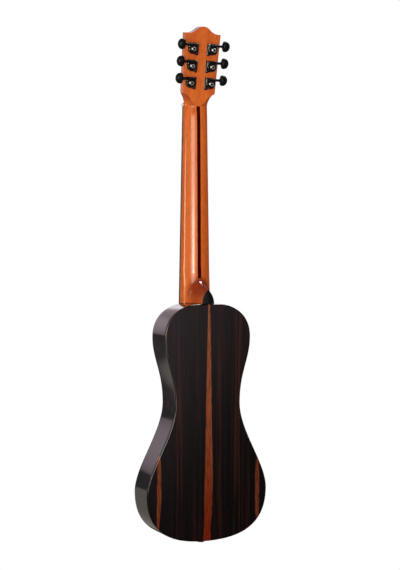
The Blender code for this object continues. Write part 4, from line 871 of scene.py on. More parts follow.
def housingMesh():
    # x runs outwards, y out of the head's back and z up the head, from the post's axis
    half = gear["barHalf"]
    bore = Form().turned([(gear["post"] + runGap, -0.03), (gear["post"] + runGap, gear["shaftHigh"] + 0.0024)])
    wheelHalf = gear["wheelThick"] / 2 + runGap
    room = Form().turned([(gear["wheel"] + runGap, gear["shaftHigh"] - wheelHalf),
                          (gear["wheel"] + runGap, gear["shaftHigh"] + wheelHalf)])
    shaftRow = (gear["shaftHigh"], gear["shaftUp"])
    worm = Form().rod((-gear["wormLong"] / 2 - runGap, *shaftRow), (gear["outer"] + 0.01, *shaftRow),
                      gear["worm"] + runGap)
    ear = arc((-gear["earIn"], -gear["earDown"]), gear["ear"], 180, 330, 12)
    flank = arc((0, 0), gear["dome"], -72, 0, 14)
    foot = [(-gear["inner"], gear["top"])] + ear + flank + [(gear["dome"], gear["top"])]
    base = Form().slab(foot, gap, gear["foot"], 0, 0.0006).cut(bore)
    inner = -gear["inner"] + 0.0004
    body = [(inner, gear["top"] - 0.0004), (inner, -0.0042)] + arc((0, 0), gear["dome"] + 0.0001, -125, 0, 20)
    body += [(gear["dome"] + 0.0001, gear["top"] - 0.0004)]
    cast = Form().slab(body, gear["foot"] - 0.0003, 0.0048, 0, 0.0016, steps=5).cut(bore, room, worm)
    dome, high, spring = gear["dome"], gear["domeHigh"], gear["spring"]
    profile = [(dome, gear["foot"] - 0.0002), (dome, spring)]
    profile += [(dome * math.cos(turn), spring + (high - 0.0005 - spring) * math.sin(turn))
                for turn in spread(0, math.radians(76), 16)[1:]]
    profile += [(0.0019, high - 0.00085), (0.0017, high - 0.00085), (0.0016, high - 0.0004), (0.0012, high),
                (0.0006, high)]
    cup = Form().turned(profile, sides=48).cut(bore, room, worm)
    top = gear["barHigh"]
    section = [(gear["shaftUp"] - half, gap + 0.0001), (gear["shaftUp"] + half, gap + 0.0001)]
    section += arc((gear["shaftUp"] + half - 0.0013, top - 0.0013), 0.0013, 0, 90, 6)
    section += arc((gear["shaftUp"] - half + 0.0013, top - 0.0013), 0.0013, 90, 180, 6)
    bar = Form()
    rings = []
    for x, inset in ((-gear["inner"] + 0.0003, 0.0005), (-gear["inner"] + 0.0006, 0.0001), (-gear["inner"] + 0.0010, 0),
                     (gear["outer"] - 0.0021, 0), (gear["outer"] - 0.0013, 0.00015), (gear["outer"] - 0.0007, 0.00055),
                     (gear["outer"] - 0.0002, 0.0012), (gear["outer"], 0.0021)):
        rings.append([Vector((x, y, z)) for z, y in drawnIn(section, inset)])
    bar = bar.loft(rings).cut(bore, room, worm)
    washerTop = -headThick - gap
    nutTop = washerTop - 0.001
    sleeveEnd = nutTop - 0.002
    radius = gear["post"] + runGap
    tube = [(gear["sleeve"], gap + 0.0005), (gear["sleeve"], sleeveEnd - 0.0003), (gear["sleeve"] - 0.0004, sleeveEnd - 0.0006),
            (radius, sleeveEnd - 0.0006), (radius, gap + 0.0005)]
    sleeve = Form().turned(tube, around=True)
    ring = [(gear["washer"], washerTop), (gear["washer"], nutTop + 0.0003), (gear["washer"] - 0.0004, nutTop),
            (gear["sleeve"] - hair, nutTop), (gear["sleeve"] - hair, washerTop)]
    washer = Form().turned(ring, around=True)
    hexagon = arc((0, 0), gear["hex"], 0, 300, 5)
    nut = Form().slab(hexagon, sleeveEnd, nutTop, 0.0004, 0).cut(Form().turned([(radius, -0.03), (radius, 0)]))
    screw = screwHead(-gear["earIn"], -gear["earDown"], gear["foot"], 0.0015, 0.0009)
    return together(base, cast, cup, bar, sleeve, washer, nut, screw)


def postMesh():
    tip = -headThick - gear["postRise"]
    windingTop = -headThick - gear["windingStart"]
    windingLow = windingTop - gear["turns"] * gear["windingPitch"]
    radius = gear["post"]
    profile = [(radius - 0.0009, tip), (radius - 0.0003, tip + 0.0002), (radius, tip + 0.0008),
               (radius, windingLow - 0.0020), (radius - 0.0005, windingLow - 0.0012), (radius - 0.0005, windingTop),
               (radius, windingTop + 0.0003), (radius, gear["shaftHigh"] + 0.0018)]
    hole = Form().rod((-0.01, windingLow - 0.0034, 0), (0.01, windingLow - 0.0034, 0), 0.0009, 16)
    stem = Form().turned(profile, sides=32).cut(hole)
    teeth = []
    for step in range(72):
        turn = 2 * math.pi * step / 72
        deep = 0.0005 if step % 4 in (2, 3) else 0
        teeth.append(((gear["wheel"] - deep) * math.cos(turn), (gear["wheel"] - deep) * math.sin(turn)))
    half = gear["wheelThick"] / 2
    wheel = Form().slab(teeth, gear["shaftHigh"] - half, gear["shaftHigh"] + half)
    return together(stem, wheel)


def windingMesh(number):
    radius = stringRadius(number)
    coil = gear["post"] - 0.0005 + radius
    high = -headThick - gear["windingStart"] - radius
    turns = gear["turns"] + 0.5
    low = high - turns * max(2 * radius, 0.0008)
    route = []
    for share in spread(0, 1, 72):
        turn = 2 * math.pi * turns * share
        route.append(Vector((-coil * math.cos(turn), high + (low - high) * share, coil * math.sin(turn))))
    route.append(Vector((0, low - 0.0016, 0.0006)))
    return Form().tube(route, radius, 8).mesh()


def buttonMesh():
    def ring(x, thick, tall, power=2.0):
        points = []
        for turn in spread(0, 2 * math.pi, 32)[:-1]:
            across, up = math.cos(turn), math.sin(turn)
            points.append(Vector((x, thick * math.copysign(abs(across) ** (2 / power), across),
                                  tall * math.copysign(abs(up) ** (2 / power), up))))
        return points

    rings = []
    long, worm = gear["wormLong"], gear["worm"]
    for step in range(12):
        radius = worm - (0.0004 if step % 2 == 0 else 0)
        rings.append(ring(-long / 2 + long * step / 12, radius, radius))
    centre = gear["buttonOut"] - gear["postOut"]
    half = gear["buttonWide"] / 2
    shaft = gear["shaft"]
    collar = centre - half * 1.02
    rings += [ring(x, radius, radius) for x, radius in
              ((long / 2, shaft), (collar - 0.0022, shaft), (collar - 0.0020, shaft + 0.0004), (collar - 0.0008, shaft + 0.0005),
               (collar - 0.0005, shaft))]
    # The knob is dished round its stem, full beside the head and round outwards
    thick, tall = gear["buttonThick"] / 2, gear["buttonLong"] / 2
    for share, size in ((-0.84, 0.30), (-0.94, 0.52), (-0.995, 0.70), (-0.985, 0.80), (-0.93, 0.88), (-0.80, 0.95),
                        (-0.60, 0.99), (-0.35, 1.0), (-0.10, 0.985), (0.15, 0.94), (0.38, 0.86), (0.58, 0.75),
                        (0.75, 0.60), (0.88, 0.43), (0.96, 0.25), (1.0, 0.08)):
        rings.append(ring(centre + half * share, thick * size ** 0.7, tall * size, 2.2))
    return Form().loft(rings).mesh()


def tuners():
    housing, post, button = housingMesh(), postMesh(), buttonMesh()
    rims = Form()  # a rim round the screw of each worm wheel, its light grey a painted reflection
    rim = [(0.0020, 0.0082), (0.0020, 0.0089), (0.0023, 0.0092), (0.0029, 0.0092), (0.0033, 0.0087), (0.0033, 0.0079)]
    for side, numbers in ((1, (1, 2, 3)), (-1, (4, 5, 6))):
        for row, number in enumerate(numbers):
            place = tunerFrame(side, row)
            rims.turned(rim, place, 36, around=True)
            placed = {}
            for kind, mesh in (("housing", housing), ("post", post), ("button", button), ("winding", windingMesh(number - 1))):
                where = place @ Matrix.Translation((0, gear["shaftHigh"], gear["shaftUp"])) if kind == "button" else place
                made = mesh.copy()
                made.transform(where)
                placed[kind] = tidied(made)
            put(f"machine_{number}", placed["housing"], "black_metal", instead=[f"tuner_housing_{number}"], sharp=32)
            put(f"string_post_{number}", placed["post"], "steel", f"post_{number}", [f"tuner_post_{number}"], sharp=32)
            put(f"winding_{number}", placed["winding"], "steel" if number < 3 else "bronze", f"post_{number}")
            put(f"knob_{number}", placed["button"], "black_plastic", f"button_{number}", [f"tuner_button_{number}"],
                finish=knobBlack, sharp=50)
    put("machine_rims", rims.mesh(), "black_metal", finish=paintedGlintGrey)


# Fretboard, nut and strings
board = {"thick": 0.006, "frets": 20, "margin": 0.006, "crown": 0.0006, "fretHigh": 0.001, "fretHalf": 0.0011,
         "dots": (3, 5, 7, 9, 12, 15, 17, 19), "dot": 0.003, "sideDot": 0.001, "twin": 0.012}
scaleLength = nutZ - saddleZ
boardTop = -gap - board["thick"]
fretTop = boardTop - board["fretHigh"]
nutStringY = fretTop - 0.0005
saddleStringY = fretTop - 0.0005 - 2 * (0.0022 - 0.0005)


def fretZ(number):
    return nutZ - scaleLength * (1 - 2 ** (-number / 12))


boardEndZ = fretZ(board["frets"]) - board["margin"]
holeZ = boardEndZ - hole["fromBoard"] - hole["radius"]


def boardY(x, z):  # the playing face is slightly crowned across
    return boardTop + board["crown"] * (x / neckHalf(z)) ** 2


def fretboard():
    rings = []
    for z in spread(boardEndZ, nutZ - gap, 24):
        half = neckHalf(z)
        face = [(x * half, boardY(x * half, z)) for x in spread(-0.985, 0.985, 12)]
        face = [(-half, -gap), (-half, boardY(half, z) + 0.0004)] + face + [(half, boardY(half, z) + 0.0004), (half, -gap)]
        rings.append([Vector((x, y, z)) for x, y in face])
    put("fingerboard", Form().loft(rings), "dark_wood", instead=["fretboard"])
    frets = Form()
    for number in range(1, board["frets"] + 1):
        z = fretZ(number)
        half = neckHalf(z)
        rings = []
        for x in [-half + 0.0001, -half + 0.0004] + spread(-half + 0.001, half - 0.001, 10) + [half - 0.0004, half - 0.0001]:
            edge = min((half - abs(x)) / 0.0010, 1)
            high = board["fretHigh"] * (0.25 + 0.75 * edge)
            foot = boardY(x, z)
            rings.append([Vector((x, foot - high * math.sin(turn) + 0.0002, z + board["fretHalf"] * math.cos(turn)))
                          for turn in spread(0, math.pi, 10)])
        frets.loft(rings)
    put("fret_wires", frets, "steel", sharp=45)
    dots, sideDots = Form(), Form()
    for number in board["dots"]:
        z = (fretZ(number) + fretZ(number - 1)) / 2
        twins = (-board["twin"], board["twin"]) if number == 12 else (0,)
        for x in twins:
            place = Matrix.Translation((x, boardY(x, z), z))
            dots.turned([(board["dot"], 0.0004), (board["dot"], -0.00003)], place, 32)
            side = Matrix.Translation((-neckHalf(z), boardTop / 2, z + x / 3)) @ Matrix.Rotation(math.pi / 2, 4, "Z")
            sideDots.turned([(board["sideDot"], -0.0004), (board["sideDot"], 0.00005)], side, 20)
    put("position_dots", dots, "bone", finish=pearl)
    put("side_dots", sideDots, "bone")


def nutBlock():
    half, crest = stem["nutWide"] / 2, nutStringY - 0.0022
    stops = [(-half, 0.0006), (-half + 0.0002, 0.0002), (-half + 0.0007, 0)]
    for number in reversed(range(6)):
        radius = stringRadius(number) + gap
        x = strung["nutSpread"] * (0.5 - number / 5)
        deep = nutStringY + gap - crest
        stops += [(x - radius - 0.00002, 0), (x - radius, deep * 0.9), (x, deep), (x + radius, deep * 0.9),
                  (x + radius + 0.00002, 0)]
    stops += [(half - 0.0007, 0), (half - 0.0002, 0.0002), (half, 0.0006)]
    rings = []
    for x, deep in stops:
        top = crest + deep
        back = (nutZ + nutThick, 0.0018)
        face = [(-gap, nutZ), (top + 0.0005, nutZ), (top + 0.0001, nutZ + 0.0003), (top, nutZ + 0.0010)]
        face += [(top + back[1] * (1 - math.cos(turn)), back[0] - 0.0022 * (1 - math.sin(turn)))
                 for turn in spread(0, math.pi / 2, 6)]
        rings.append([Vector((x, y, z)) for y, z in face + [(-gap, back[0])]])
    put("nut_bone", Form().loft(rings), "bone", instead=["nut"])


def strings():
    bridgeTop = -gap - bridgeSize["thick"]
    for number in range(6):
        radius = stringRadius(number)
        side, row = (1, number) if number < 3 else (-1, 5 - number)
        saddleX = strung["saddleSpread"] * (0.5 - number / 5)
        nutX = strung["nutSpread"] * (0.5 - number / 5)
        reach = gear["postOut"] - gear["post"] + 0.0005 - radius
        high = -headThick - gear["windingStart"] - radius
        station = gear["nearRow"] + row * gear["pitch"]
        pinZ = saddleZ - bridgeSize["pinBack"] + bridgeSize["pin"] + radius + gap
        points = [Vector((saddleX, bridgeTop - radius - gap, pinZ)),
                  Vector((saddleX, saddleStringY - radius + 0.00018, saddleZ - 0.0012)),
                  Vector((saddleX, saddleStringY - radius + 0.00014, saddleZ)),
                  Vector((nutX, nutStringY - radius, nutZ)),
                  Vector((nutX, nutStringY - radius, nutZ + nutThick * 0.7)),
                  headFrame @ Vector((side * reach, high, station))]
        finish = finishes["steel"] if number < 2 else finishes["bronze"]
        put(f"course_{number + 1}", Form().tube(points, radius, 12), "steel" if number < 2 else "bronze",
            instead=[f"string_{number + 1}"], finish=finish, sharp=80)


# Bridge
bridgeSize = {"half": 0.062, "centre": 0.034, "long": 0.026, "thick": 0.0075, "wing": 0.003, "setback": 0.008,
              "saddleHalf": 0.033, "saddleThick": 0.003, "seat": 0.004, "pinBack": 0.010, "pin": 0.0027,
              "pinRise": 0.0018, "ramp": 0.012, "round": 0.0022}


def leadHole():
    x = -bridgeSize["saddleHalf"] + 0.0016
    return Form().rod((x, -0.004, saddleZ), (x, 0.02, saddleZ), 0.0008 + gap, 12)


def bridge():
    size = bridgeSize
    lowZ, highZ = saddleZ + size["setback"] - size["long"], saddleZ + size["setback"]
    rings = []
    half = size["half"]
    places = [0.0, 0.0005, 0.0015, 0.003, 0.005, 0.010, 0.016] + [half - size["centre"] - size["ramp"] * s for s in
                                                             (0.95, 0.85, 0.7, 0.5, 0.3, 0.15, 0.05)] + [0.030]
    places = sorted(places)
    stations = [-half + place for place in places] + [half - place for place in reversed(places)]
    for x in stations:
        inward = half - abs(x)
        rampShare = smoothStep((inward - (half - size["centre"] - size["ramp"])) / size["ramp"])
        tip = min(inward / 0.005, 1)
        high = size["wing"] * (0.45 + 0.55 * math.sqrt(max(1 - (1 - tip) ** 2, 0)))
        high += (size["thick"] - size["wing"]) * rampShare
        inset = size["long"] / 7 * (1 - math.sqrt(max(1 - (1 - tip) ** 2, 0)))
        edge = min(size["round"], high * 0.6)
        low, top = lowZ + inset, highZ - inset
        face = [(-gap, low), (-gap, top)]
        face += [(-gap - high + edge * (1 - math.sin(turn)), top - edge * (1 - math.cos(turn)))
                 for turn in spread(0, math.pi / 2, 5)]
        face += [(-gap - high + edge * (1 - math.cos(turn)), low + edge * (1 - math.sin(turn)))
                 for turn in spread(0, math.pi / 2, 5)]
        rings.append([Vector((x, y, z)) for y, z in face])
    top = -gap - size["thick"]
    floor = top + size["seat"] + 0.001 + 2 * gap
    slotHalf, thin = size["saddleHalf"] + gap, size["saddleThick"] / 2 + gap
    slot = Form().block((-slotHalf, top - 0.01, saddleZ - thin), (slotHalf, floor, saddleZ + thin))
    put("bridge_wood", Form().loft(rings).cut(slot, leadHole()), "dark_wood", instead=["bridge"])
    pins, dots = Form(), Form()
    for number in range(6):
        x = strung["saddleSpread"] * (0.5 - number / 5)
        place = Matrix.Translation((x, top, saddleZ - size["pinBack"]))
        pin, rise = size["pin"], size["pinRise"]
        pins.turned([(pin * 0.5, -rise + 0.0001), (pin * 0.85, -rise * 0.9), (pin, -rise * 0.6), (pin * 0.98, -0.0004),
                     (pin * 0.8, 0.0001), (pin * 0.75, 0.001)], place, 28)
        dots.turned([(pin * 0.42, -rise), (pin * 0.45, -rise + 0.0004)], place, 20)
    put("bridge_pins", pins, "black_plastic")
    put("pin_dots", dots, "bone", finish=pearl)
    seat, crest, half = top + size["seat"], saddleStringY + gap, size["saddleHalf"]
    rings = []
    for x in [-half, -half + 0.0003, -half + 0.0009] + spread(-half + 0.002, half - 0.002, 16) + \
            [half - 0.0009, half - 0.0003, half]:
        down = max(0.0012 * (1 - (half - abs(x)) / 0.0012), 0) + 0.0005 * (x / half) ** 2
        peak, thin = crest + down, size["saddleThick"] / 2
        face = [(seat, saddleZ - thin), (peak + 0.0012, saddleZ - thin)]
        face += [(peak + 0.0012 * (1 - math.sin(turn)), saddleZ - thin * math.cos(turn))
                 for turn in spread(0, math.pi, 8)[1:-1]]
        face += [(peak + 0.0012, saddleZ + thin), (seat, saddleZ + thin)]
        rings.append([Vector((x, y, z)) for y, z in face])
    put("saddle_bone", Form().loft(rings), "bone", instead=["saddle"])


# Preamp on the bass side
panel = {"top": 0.036, "bottom": 0.104, "tall": 0.036, "thick": 0.002, "margin": 0.003, "foot": 0.009, "deep": 0.020,
         "bay": 0.0905, "firstKnob": 0.0445, "pitch": 0.0115, "shift": 0.008, "knob": 0.0042, "knobHigh": 0.0045,
         "shaft": 0.0016, "shaftLong": 0.009, "key": 0.056, "keyShift": 0.0085, "keyLong": 0.009, "keyWide": 0.006,
         "keyRise": 0.0024, "keyRoot": 0.004, "travel": 0.001, "corner": 0.004, "edge": 0.0009}
cell = {"long": 0.0485, "wide": 0.0265, "thick": 0.0175, "wall": 0.0012, "front": 0.003}
slide = 0.0004
drawer = {"wide": cell["wide"] + 2 * gap + 2 * cell["wall"], "thick": cell["thick"] + gap + cell["wall"],
          "long": cell["long"] + 2 * gap + cell["wall"]}
bayRoom = {"wide": drawer["wide"] + 2 * slide, "thick": drawer["thick"] + 2 * slide, "deep": drawer["long"] + slide}
surface = gap + panel["thick"]


def rimAt(drop, inset=0.0):
    target = topZ - drop
    curves = bodyCurves()
    curve = curves[3] if target > curves[3][0][1] else curves[2]
    low, high = 0.0, 1.0
    for _ in range(40):
        middle = (low + high) / 2
        point, outward = bezier(curve, middle)
        low, high = (middle, high) if point.y < target else (low, middle)
    return point - inset * outward, outward


def rimFrame(drop, shift=0.0):  # x runs along the rim towards the neck, y across it, z out of it
    point, outward = rimAt(drop)
    out = Vector((-outward.x, 0, outward.y))
    across = Vector((0, 1, 0))
    place = Matrix((across.cross(out), across, out)).transposed().to_4x4()
    place.translation = Vector((-point.x, middleY + shift, point.y))
    return place


def rimStrip(top, bottom, inner, outer, low, high, steps=24):
    drops = spread(bottom, top, steps)
    wall = [rimAt(drop, outer)[0] for drop in drops] + [rimAt(drop, inner)[0] for drop in reversed(drops)]
    return Form().slab([(-spot.x, spot.y) for spot in wall], low, high)


def preampRoom(grow):
    place = rimFrame(panel["bay"])
    half, wide = bayRoom["thick"] / 2 + cell["wall"] + grow, bayRoom["wide"] / 2 + cell["wall"] + grow
    deep = bayRoom["deep"] + cell["wall"] + grow
    bay = Form().block((-half, -wide, -deep), (half, wide, 0.01), place)
    box = rimStrip(panel["top"] + panel["margin"] - grow, panel["bottom"] - panel["foot"], panel["deep"] + grow, -0.01,
                   middleY - wide, middleY + wide)
    return bay, box


def jackHole():
    return Form().rod((0, middleY, tailZ - 0.02), (0, middleY, tailZ + 0.05), 0.0055 + gap, 32)


def outward(place):  # a frame whose y axis runs out of the rim
    return place @ Matrix.Rotation(math.pi / 2, 4, "X")


def rounded(halfX, halfZ, radius, steps=5):
    face = []
    for x, z, first in ((1, 1, 0), (-1, 1, 90), (-1, -1, 180), (1, -1, 270)):
        face += arc((x * (halfX - radius), z * (halfZ - radius)), radius, first, first + 90, steps)
    return face


def bayHole(grow=0.0):
    half, wide = bayRoom["thick"] / 2 + grow, bayRoom["wide"] / 2 + grow
    return Form().block((-half, -wide, -bayRoom["deep"]), (half, wide, 0.02), rimFrame(panel["bay"]))


def keyHole():
    half, side = panel["keyLong"] / 2 + slide, panel["keyWide"] / 2 + slide
    low = -panel["keyRoot"] - panel["travel"] - slide
    face = rounded(half, side, 0.0012)
    return Form().slab(face, low, 0.01, place=outward(rimFrame(panel["key"], panel["keyShift"])))


def knobPlace(number):
    return outward(rimFrame(panel["firstKnob"] + panel["pitch"] * number, -panel["shift"]))


def preamp():
    top, bottom = panel["top"], panel["bottom"]
    corner, edge = panel["corner"], panel["edge"]
    ends = [0, 0.00015, 0.0005, 0.0009, 0.0015, 0.0024, 0.0034]
    drops = [bottom - end for end in ends] + spread(bottom - corner, top + corner, 30) + [top + end for end in ends[::-1]]
    rings = []
    for drop in drops:
        away = min(drop - top, bottom - drop)
        square = max(corner - away, 0)
        half = panel["tall"] / 2 - corner + math.sqrt(corner ** 2 - square ** 2)
        blunt = max(edge - away, 0)
        high = surface - edge + math.sqrt(edge ** 2 - blunt ** 2)
        section = [(-half, gap)] + [(-half + edge * (1 - math.cos(turn)), high - edge * (1 - math.sin(turn)))
                                    for turn in spread(0, math.pi / 2, 4)]
        section += [(-across, out) for across, out in reversed(section)]
        ring = []
        for across, out in section:
            spot = rimAt(drop, -out)[0]
            ring.append(Vector((-spot.x, middleY + across, spot.y)))
        rings.append(ring)
    drills = [Form().turned([(panel["shaft"] + runGap, -panel["shaftLong"]), (panel["shaft"] + runGap, 0.01)],
                            knobPlace(number), 20) for number in range(3)]
    cover = Form().loft(rings).cut(bayHole(), keyHole(), *drills)
    inside = Form().slab(bodyOutline(-panel["thick"] / 2), -0.01, depthY + 0.01)
    walls = []
    for form in preampRoom(0):
        kept = form.cut(inside, operation="INTERSECT")
        walls.append(cutMesh(kept, bayHole(), keyHole(), *drills))
    put("preamp_housing", together(cover, *walls), "black_plastic", instead=["preamp_case"], sharp=32)
    lips = Form()
    for place, low, high in ((rimFrame(panel["bay"]), drawer["thick"] / 2 + slide, drawer["wide"] / 2 + slide),
                             (rimFrame(panel["key"], panel["keyShift"]), panel["keyLong"] / 2 + slide,
                              panel["keyWide"] / 2 + slide)):
        ringed = [(rounded(low + grow, high + grow, 0.0012 + grow), depth) for grow, depth in
                  ((0.00005, surface - 0.0006), (0.00005, surface + 0.00035), (0.0004, surface + 0.0005),
                   (0.0009, surface + 0.00035), (0.0011, surface - 0.0006))]
        where = outward(place)
        lips.loft([[where @ Vector((x, depth, z)) for x, z in face] for face, depth in ringed], around=True)
    put("panel_lips", lips, "black_plastic", sharp=50)


def knobs():
    low = surface + runGap
    top = low + panel["knobHigh"]
    for number, name in enumerate(("volume", "bass", "treble")):
        place = knobPlace(number)
        rings = []
        radius = panel["knob"]
        for share, height, ridged in ((1.0, low, 0), (1.0, low + 0.0006, 0), (0.97, low + 0.0008, 1), (0.93, top - 0.0007, 1),
                                      (0.90, top - 0.0004, 0), (0.84, top - 0.0001, 0), (0.78, top, 0),
                                      (0.62, top - 0.0001, 0), (0.30, top - 0.0003, 0)):
            ring = []
            for step in range(72):
                turn = 2 * math.pi * step / 72
                reach = radius * share - (0.00022 if ridged and step % 3 == 0 else 0)
                ring.append(place @ Vector((reach * math.cos(turn), height, reach * math.sin(turn))))
            rings.append(ring)
        stalk = Form().turned([(panel["shaft"], runGap - panel["shaftLong"]), (panel["shaft"], low + 0.0005)], place, 24)
        mesh = together(Form().loft(rings), stalk)
        put(f"{name}_dial", mesh, "black_plastic", f"{name}_knob_body", [f"{name}_knob"], sharp=30)
        mark = Form().slab(rounded(0.0010, 0.00028, 0.0002, 3), top - 0.0004, top + 0.00003,
                           place=place @ Matrix.Translation((radius * 0.72, 0, 0)))
        put(f"{name}_mark", mark, "bone", f"{name}_knob_body")


def keyAndBay():
    place = outward(rimFrame(panel["key"], panel["keyShift"]))
    high = surface + panel["keyRise"]
    rows = [(0, -panel["keyRoot"]), (0, high - 0.0007), (0.0001, high - 0.0004), (0.0004, high - 0.0001), (0.0007, high),
            (0.0012, high - 0.00005), (0.0020, high - 0.0002)]
    face = rounded(panel["keyLong"] / 2, panel["keyWide"] / 2, 0.0011)
    rings = []
    for inset, depth in rows:
        shrunk = rounded(panel["keyLong"] / 2 - inset, panel["keyWide"] / 2 - inset, max(0.0011 - inset * 0.3, 0.0004))
        rings.append([place @ Vector((x, depth, z)) for x, z in (shrunk if inset else face)])
    put("tuner_button_key", Form().loft(rings), "black_plastic", "tuner_key_body", ["tuner_key"], sharp=50)
    place = outward(rimFrame(panel["bay"]))
    halfThick, halfWide = drawer["thick"] / 2, drawer["wide"] / 2
    shape = Form().slab(rounded(halfThick, halfWide, 0.0010), -drawer["long"], cell["front"], 0, 0.0007, place)
    low = cell["wall"] - drawer["long"]
    high = low + cell["long"] + 2 * gap
    well = Form().slab([(-halfThick + cell["wall"], -halfWide + cell["wall"]), (halfThick + 0.01, -halfWide + cell["wall"]),
                        (halfThick + 0.01, halfWide - cell["wall"]), (-halfThick + cell["wall"], halfWide - cell["wall"])],
                       low, high, place=place)
    grip = Form().turned([(0.0055, cell["front"] - 0.0012), (0.0062, cell["front"] + 0.001)],
                         place @ Matrix.Translation((-halfThick + 0.0010, 0, 0)), 40)
    mesh = shape.cut(well, grip)
    ribs = Form()
    for step in range(4):
        ribs.slab(rounded(0.0003, 0.0075 - step * 0.0004, 0.00028, 3), cell["front"] - 0.0004, cell["front"] + 0.00025,
                  place=place @ Matrix.Translation((halfThick * 0.35 + step * 0.0013, 0, 0)))
    put("battery_tray", together(mesh, ribs), "black_plastic", "drawer", ["battery_drawer"], sharp=32)
    cellLow = low + gap
    floor = -halfThick + cell["wall"] + gap
    middle = floor + cell["thick"] / 2
    body = Form().slab(rounded(cell["thick"] / 2, cell["wide"] / 2, 0.0018), cellLow + 0.0028, cellLow + cell["long"],
                       0.0008, 0.0008, place @ Matrix.Translation((middle, 0, 0)))
    put("battery_block", body, "battery_skin", "drawer", ["battery"])
    snaps = Form()
    for side in (-1, 1):
        where = place @ Matrix.Translation((middle, cellLow, side * 0.0064))
        snaps.turned([(0.0022, 0.0001), (0.0029, 0.0003), (0.0029, 0.0009), (0.0024, 0.0013), (0.0026, 0.0029)],
                     where, 24)
    put("battery_snaps", snaps, "steel", "drawer")


def endJack():
    face = tailZ - gap
    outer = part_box("end_jack")[0].z
    collar, waist, bore = 0.0064, 0.0048, 0.0033
    place = Matrix.Translation((0, middleY, 0)) @ Matrix.Rotation(math.pi / 2, 4, "X")
    profile = [(bore + 0.0008, outer), (collar - 0.0008, outer), (collar - 0.0002, outer + 0.0003),
               (collar, outer + 0.0008), (collar - 0.0002, outer + 0.0014), (collar - 0.0010, outer + 0.0018),
               (waist + 0.0003, outer + 0.0022), (waist, outer + 0.0030), (waist, face - 0.0024),
               (waist + 0.0004, face - 0.0019), (collar, face - 0.0016), (collar + 0.0006, face - 0.0008),
               (collar + 0.0006, face), (0.0055, face + 0.0001), (0.0055, tailZ + 0.034)]
    hollow = Form().turned([(bore, outer - 0.01), (bore, outer + 0.030)], place, 40)
    rim = Form().turned([(bore + 0.0009, outer - 0.001), (bore, outer + 0.0009)], place, 40)
    put("output_socket", Form().turned(profile, place, 48).cut(hollow, rim), "black_metal", instead=["end_jack"], sharp=45)
    nut = [(0.0054, face), (0.0054, face - 0.0001)]
    ring = Form().turned([(bore + 0.0001, outer + 0.0010), (bore + 0.0001, outer + 0.029), (bore - 0.0004, outer + 0.029),
                          (bore - 0.0004, outer + 0.0014)], place, 40, around=True)
    put("socket_liner", ring, "steel", sharp=45)


bodyShell()
soundboard()
print("body shell built")
neck()
headFront()
print("neck and head built")
tuners()
print("tuning machines built")
fretboard()
nutBlock()
strings()
bridge()
print("fretboard, strings and bridge built")
preamp()
knobs()
keyAndBay()
endJack()
print("preamp, battery and jack built")

# Camera, at the photograph's angle
view = {"turn": math.radians(24.86), "pitch": math.radians(1.82), "roll": math.radians(0.18),
        "away": 2.2644, "aim": Vector((-0.0102, 0, -0.3145)), "lens": 84.06, "sensor": 36.0}


def addCamera():
    ahead = -Vector((math.sin(view["turn"]) * math.cos(view["pitch"]),
                     math.cos(view["turn"]) * math.cos(view["pitch"]), math.sin(view["pitch"])))
    right = Vector((-math.cos(view["turn"]), math.sin(view["turn"]), 0))
    up = right.cross(ahead)
    tilted = Matrix.Rotation(view["roll"], 3, -ahead)
    data = bpy.data.cameras.new("camera")
    data.sensor_fit = "VERTICAL"
    data.sensor_height = view["sensor"]
    data.lens = view["lens"]
    data.clip_start = 0.05
    camera = bpy.data.objects.new("camera", data)
    camera.matrix_world = Matrix((tilted @ right, tilted @ up, -ahead)).transposed().to_4x4()
    camera.location = view["aim"] - ahead * view["away"]
    bpy.context.scene.collection.objects.link(camera)
    bpy.context.scene.camera = camera


# Studio: a white room that the gloss sees behind the guitar, dark on the camera's side
studio = {"floorDrop": 0.9, "floorHalf": 2.9, "fadeFrom": 1.2, "pale": (0.86, 0.86, 0.86), "ambient": 0.30,
          "wall": 1.05, "dark": 0.018, "wallFrom": 0.60, "wallSoft": 0.12, "tint": (1.16, 0.99, 1.07)}
sheen = {"turn": -12.8, "rise": 1.8, "reach": 12.4, "strength": 0.75}
# The screen behind the guitar, which its glossy rib shows: a lit wall over a dark part over a grey one
screen = {"y": -1.36, "left": -0.75, "right": 2.4, "low": -3.2, "high": 0.62, "litTo": 0.86, "darkTop": -0.407,
          "slope": 0.54, "greyTop": -1.150, "dark": 0.132, "wall": (1.18, 0.97, 1.08), "floor": (1.12, 0.97, 0.88),
          "night": (1.02, 0.97, 1.05), "plain": (1.0, 0.97, 0.98), "blob": (-0.30, 0.15),
          "grey": ((-3.2, 0.30), (-1.40, 0.35), (-1.20, 0.39), (-1.03, 0.46), (-0.83, 0.53), (-0.70, 0.55)),
          "lit": ((-0.42, 0.52), (-0.33, 0.86), (-0.26, 1.02), (-0.18, 1.16), (0.02, 1.34), (0.16, 1.12), (0.235, 0.74),
                  (0.62, 0.55))}


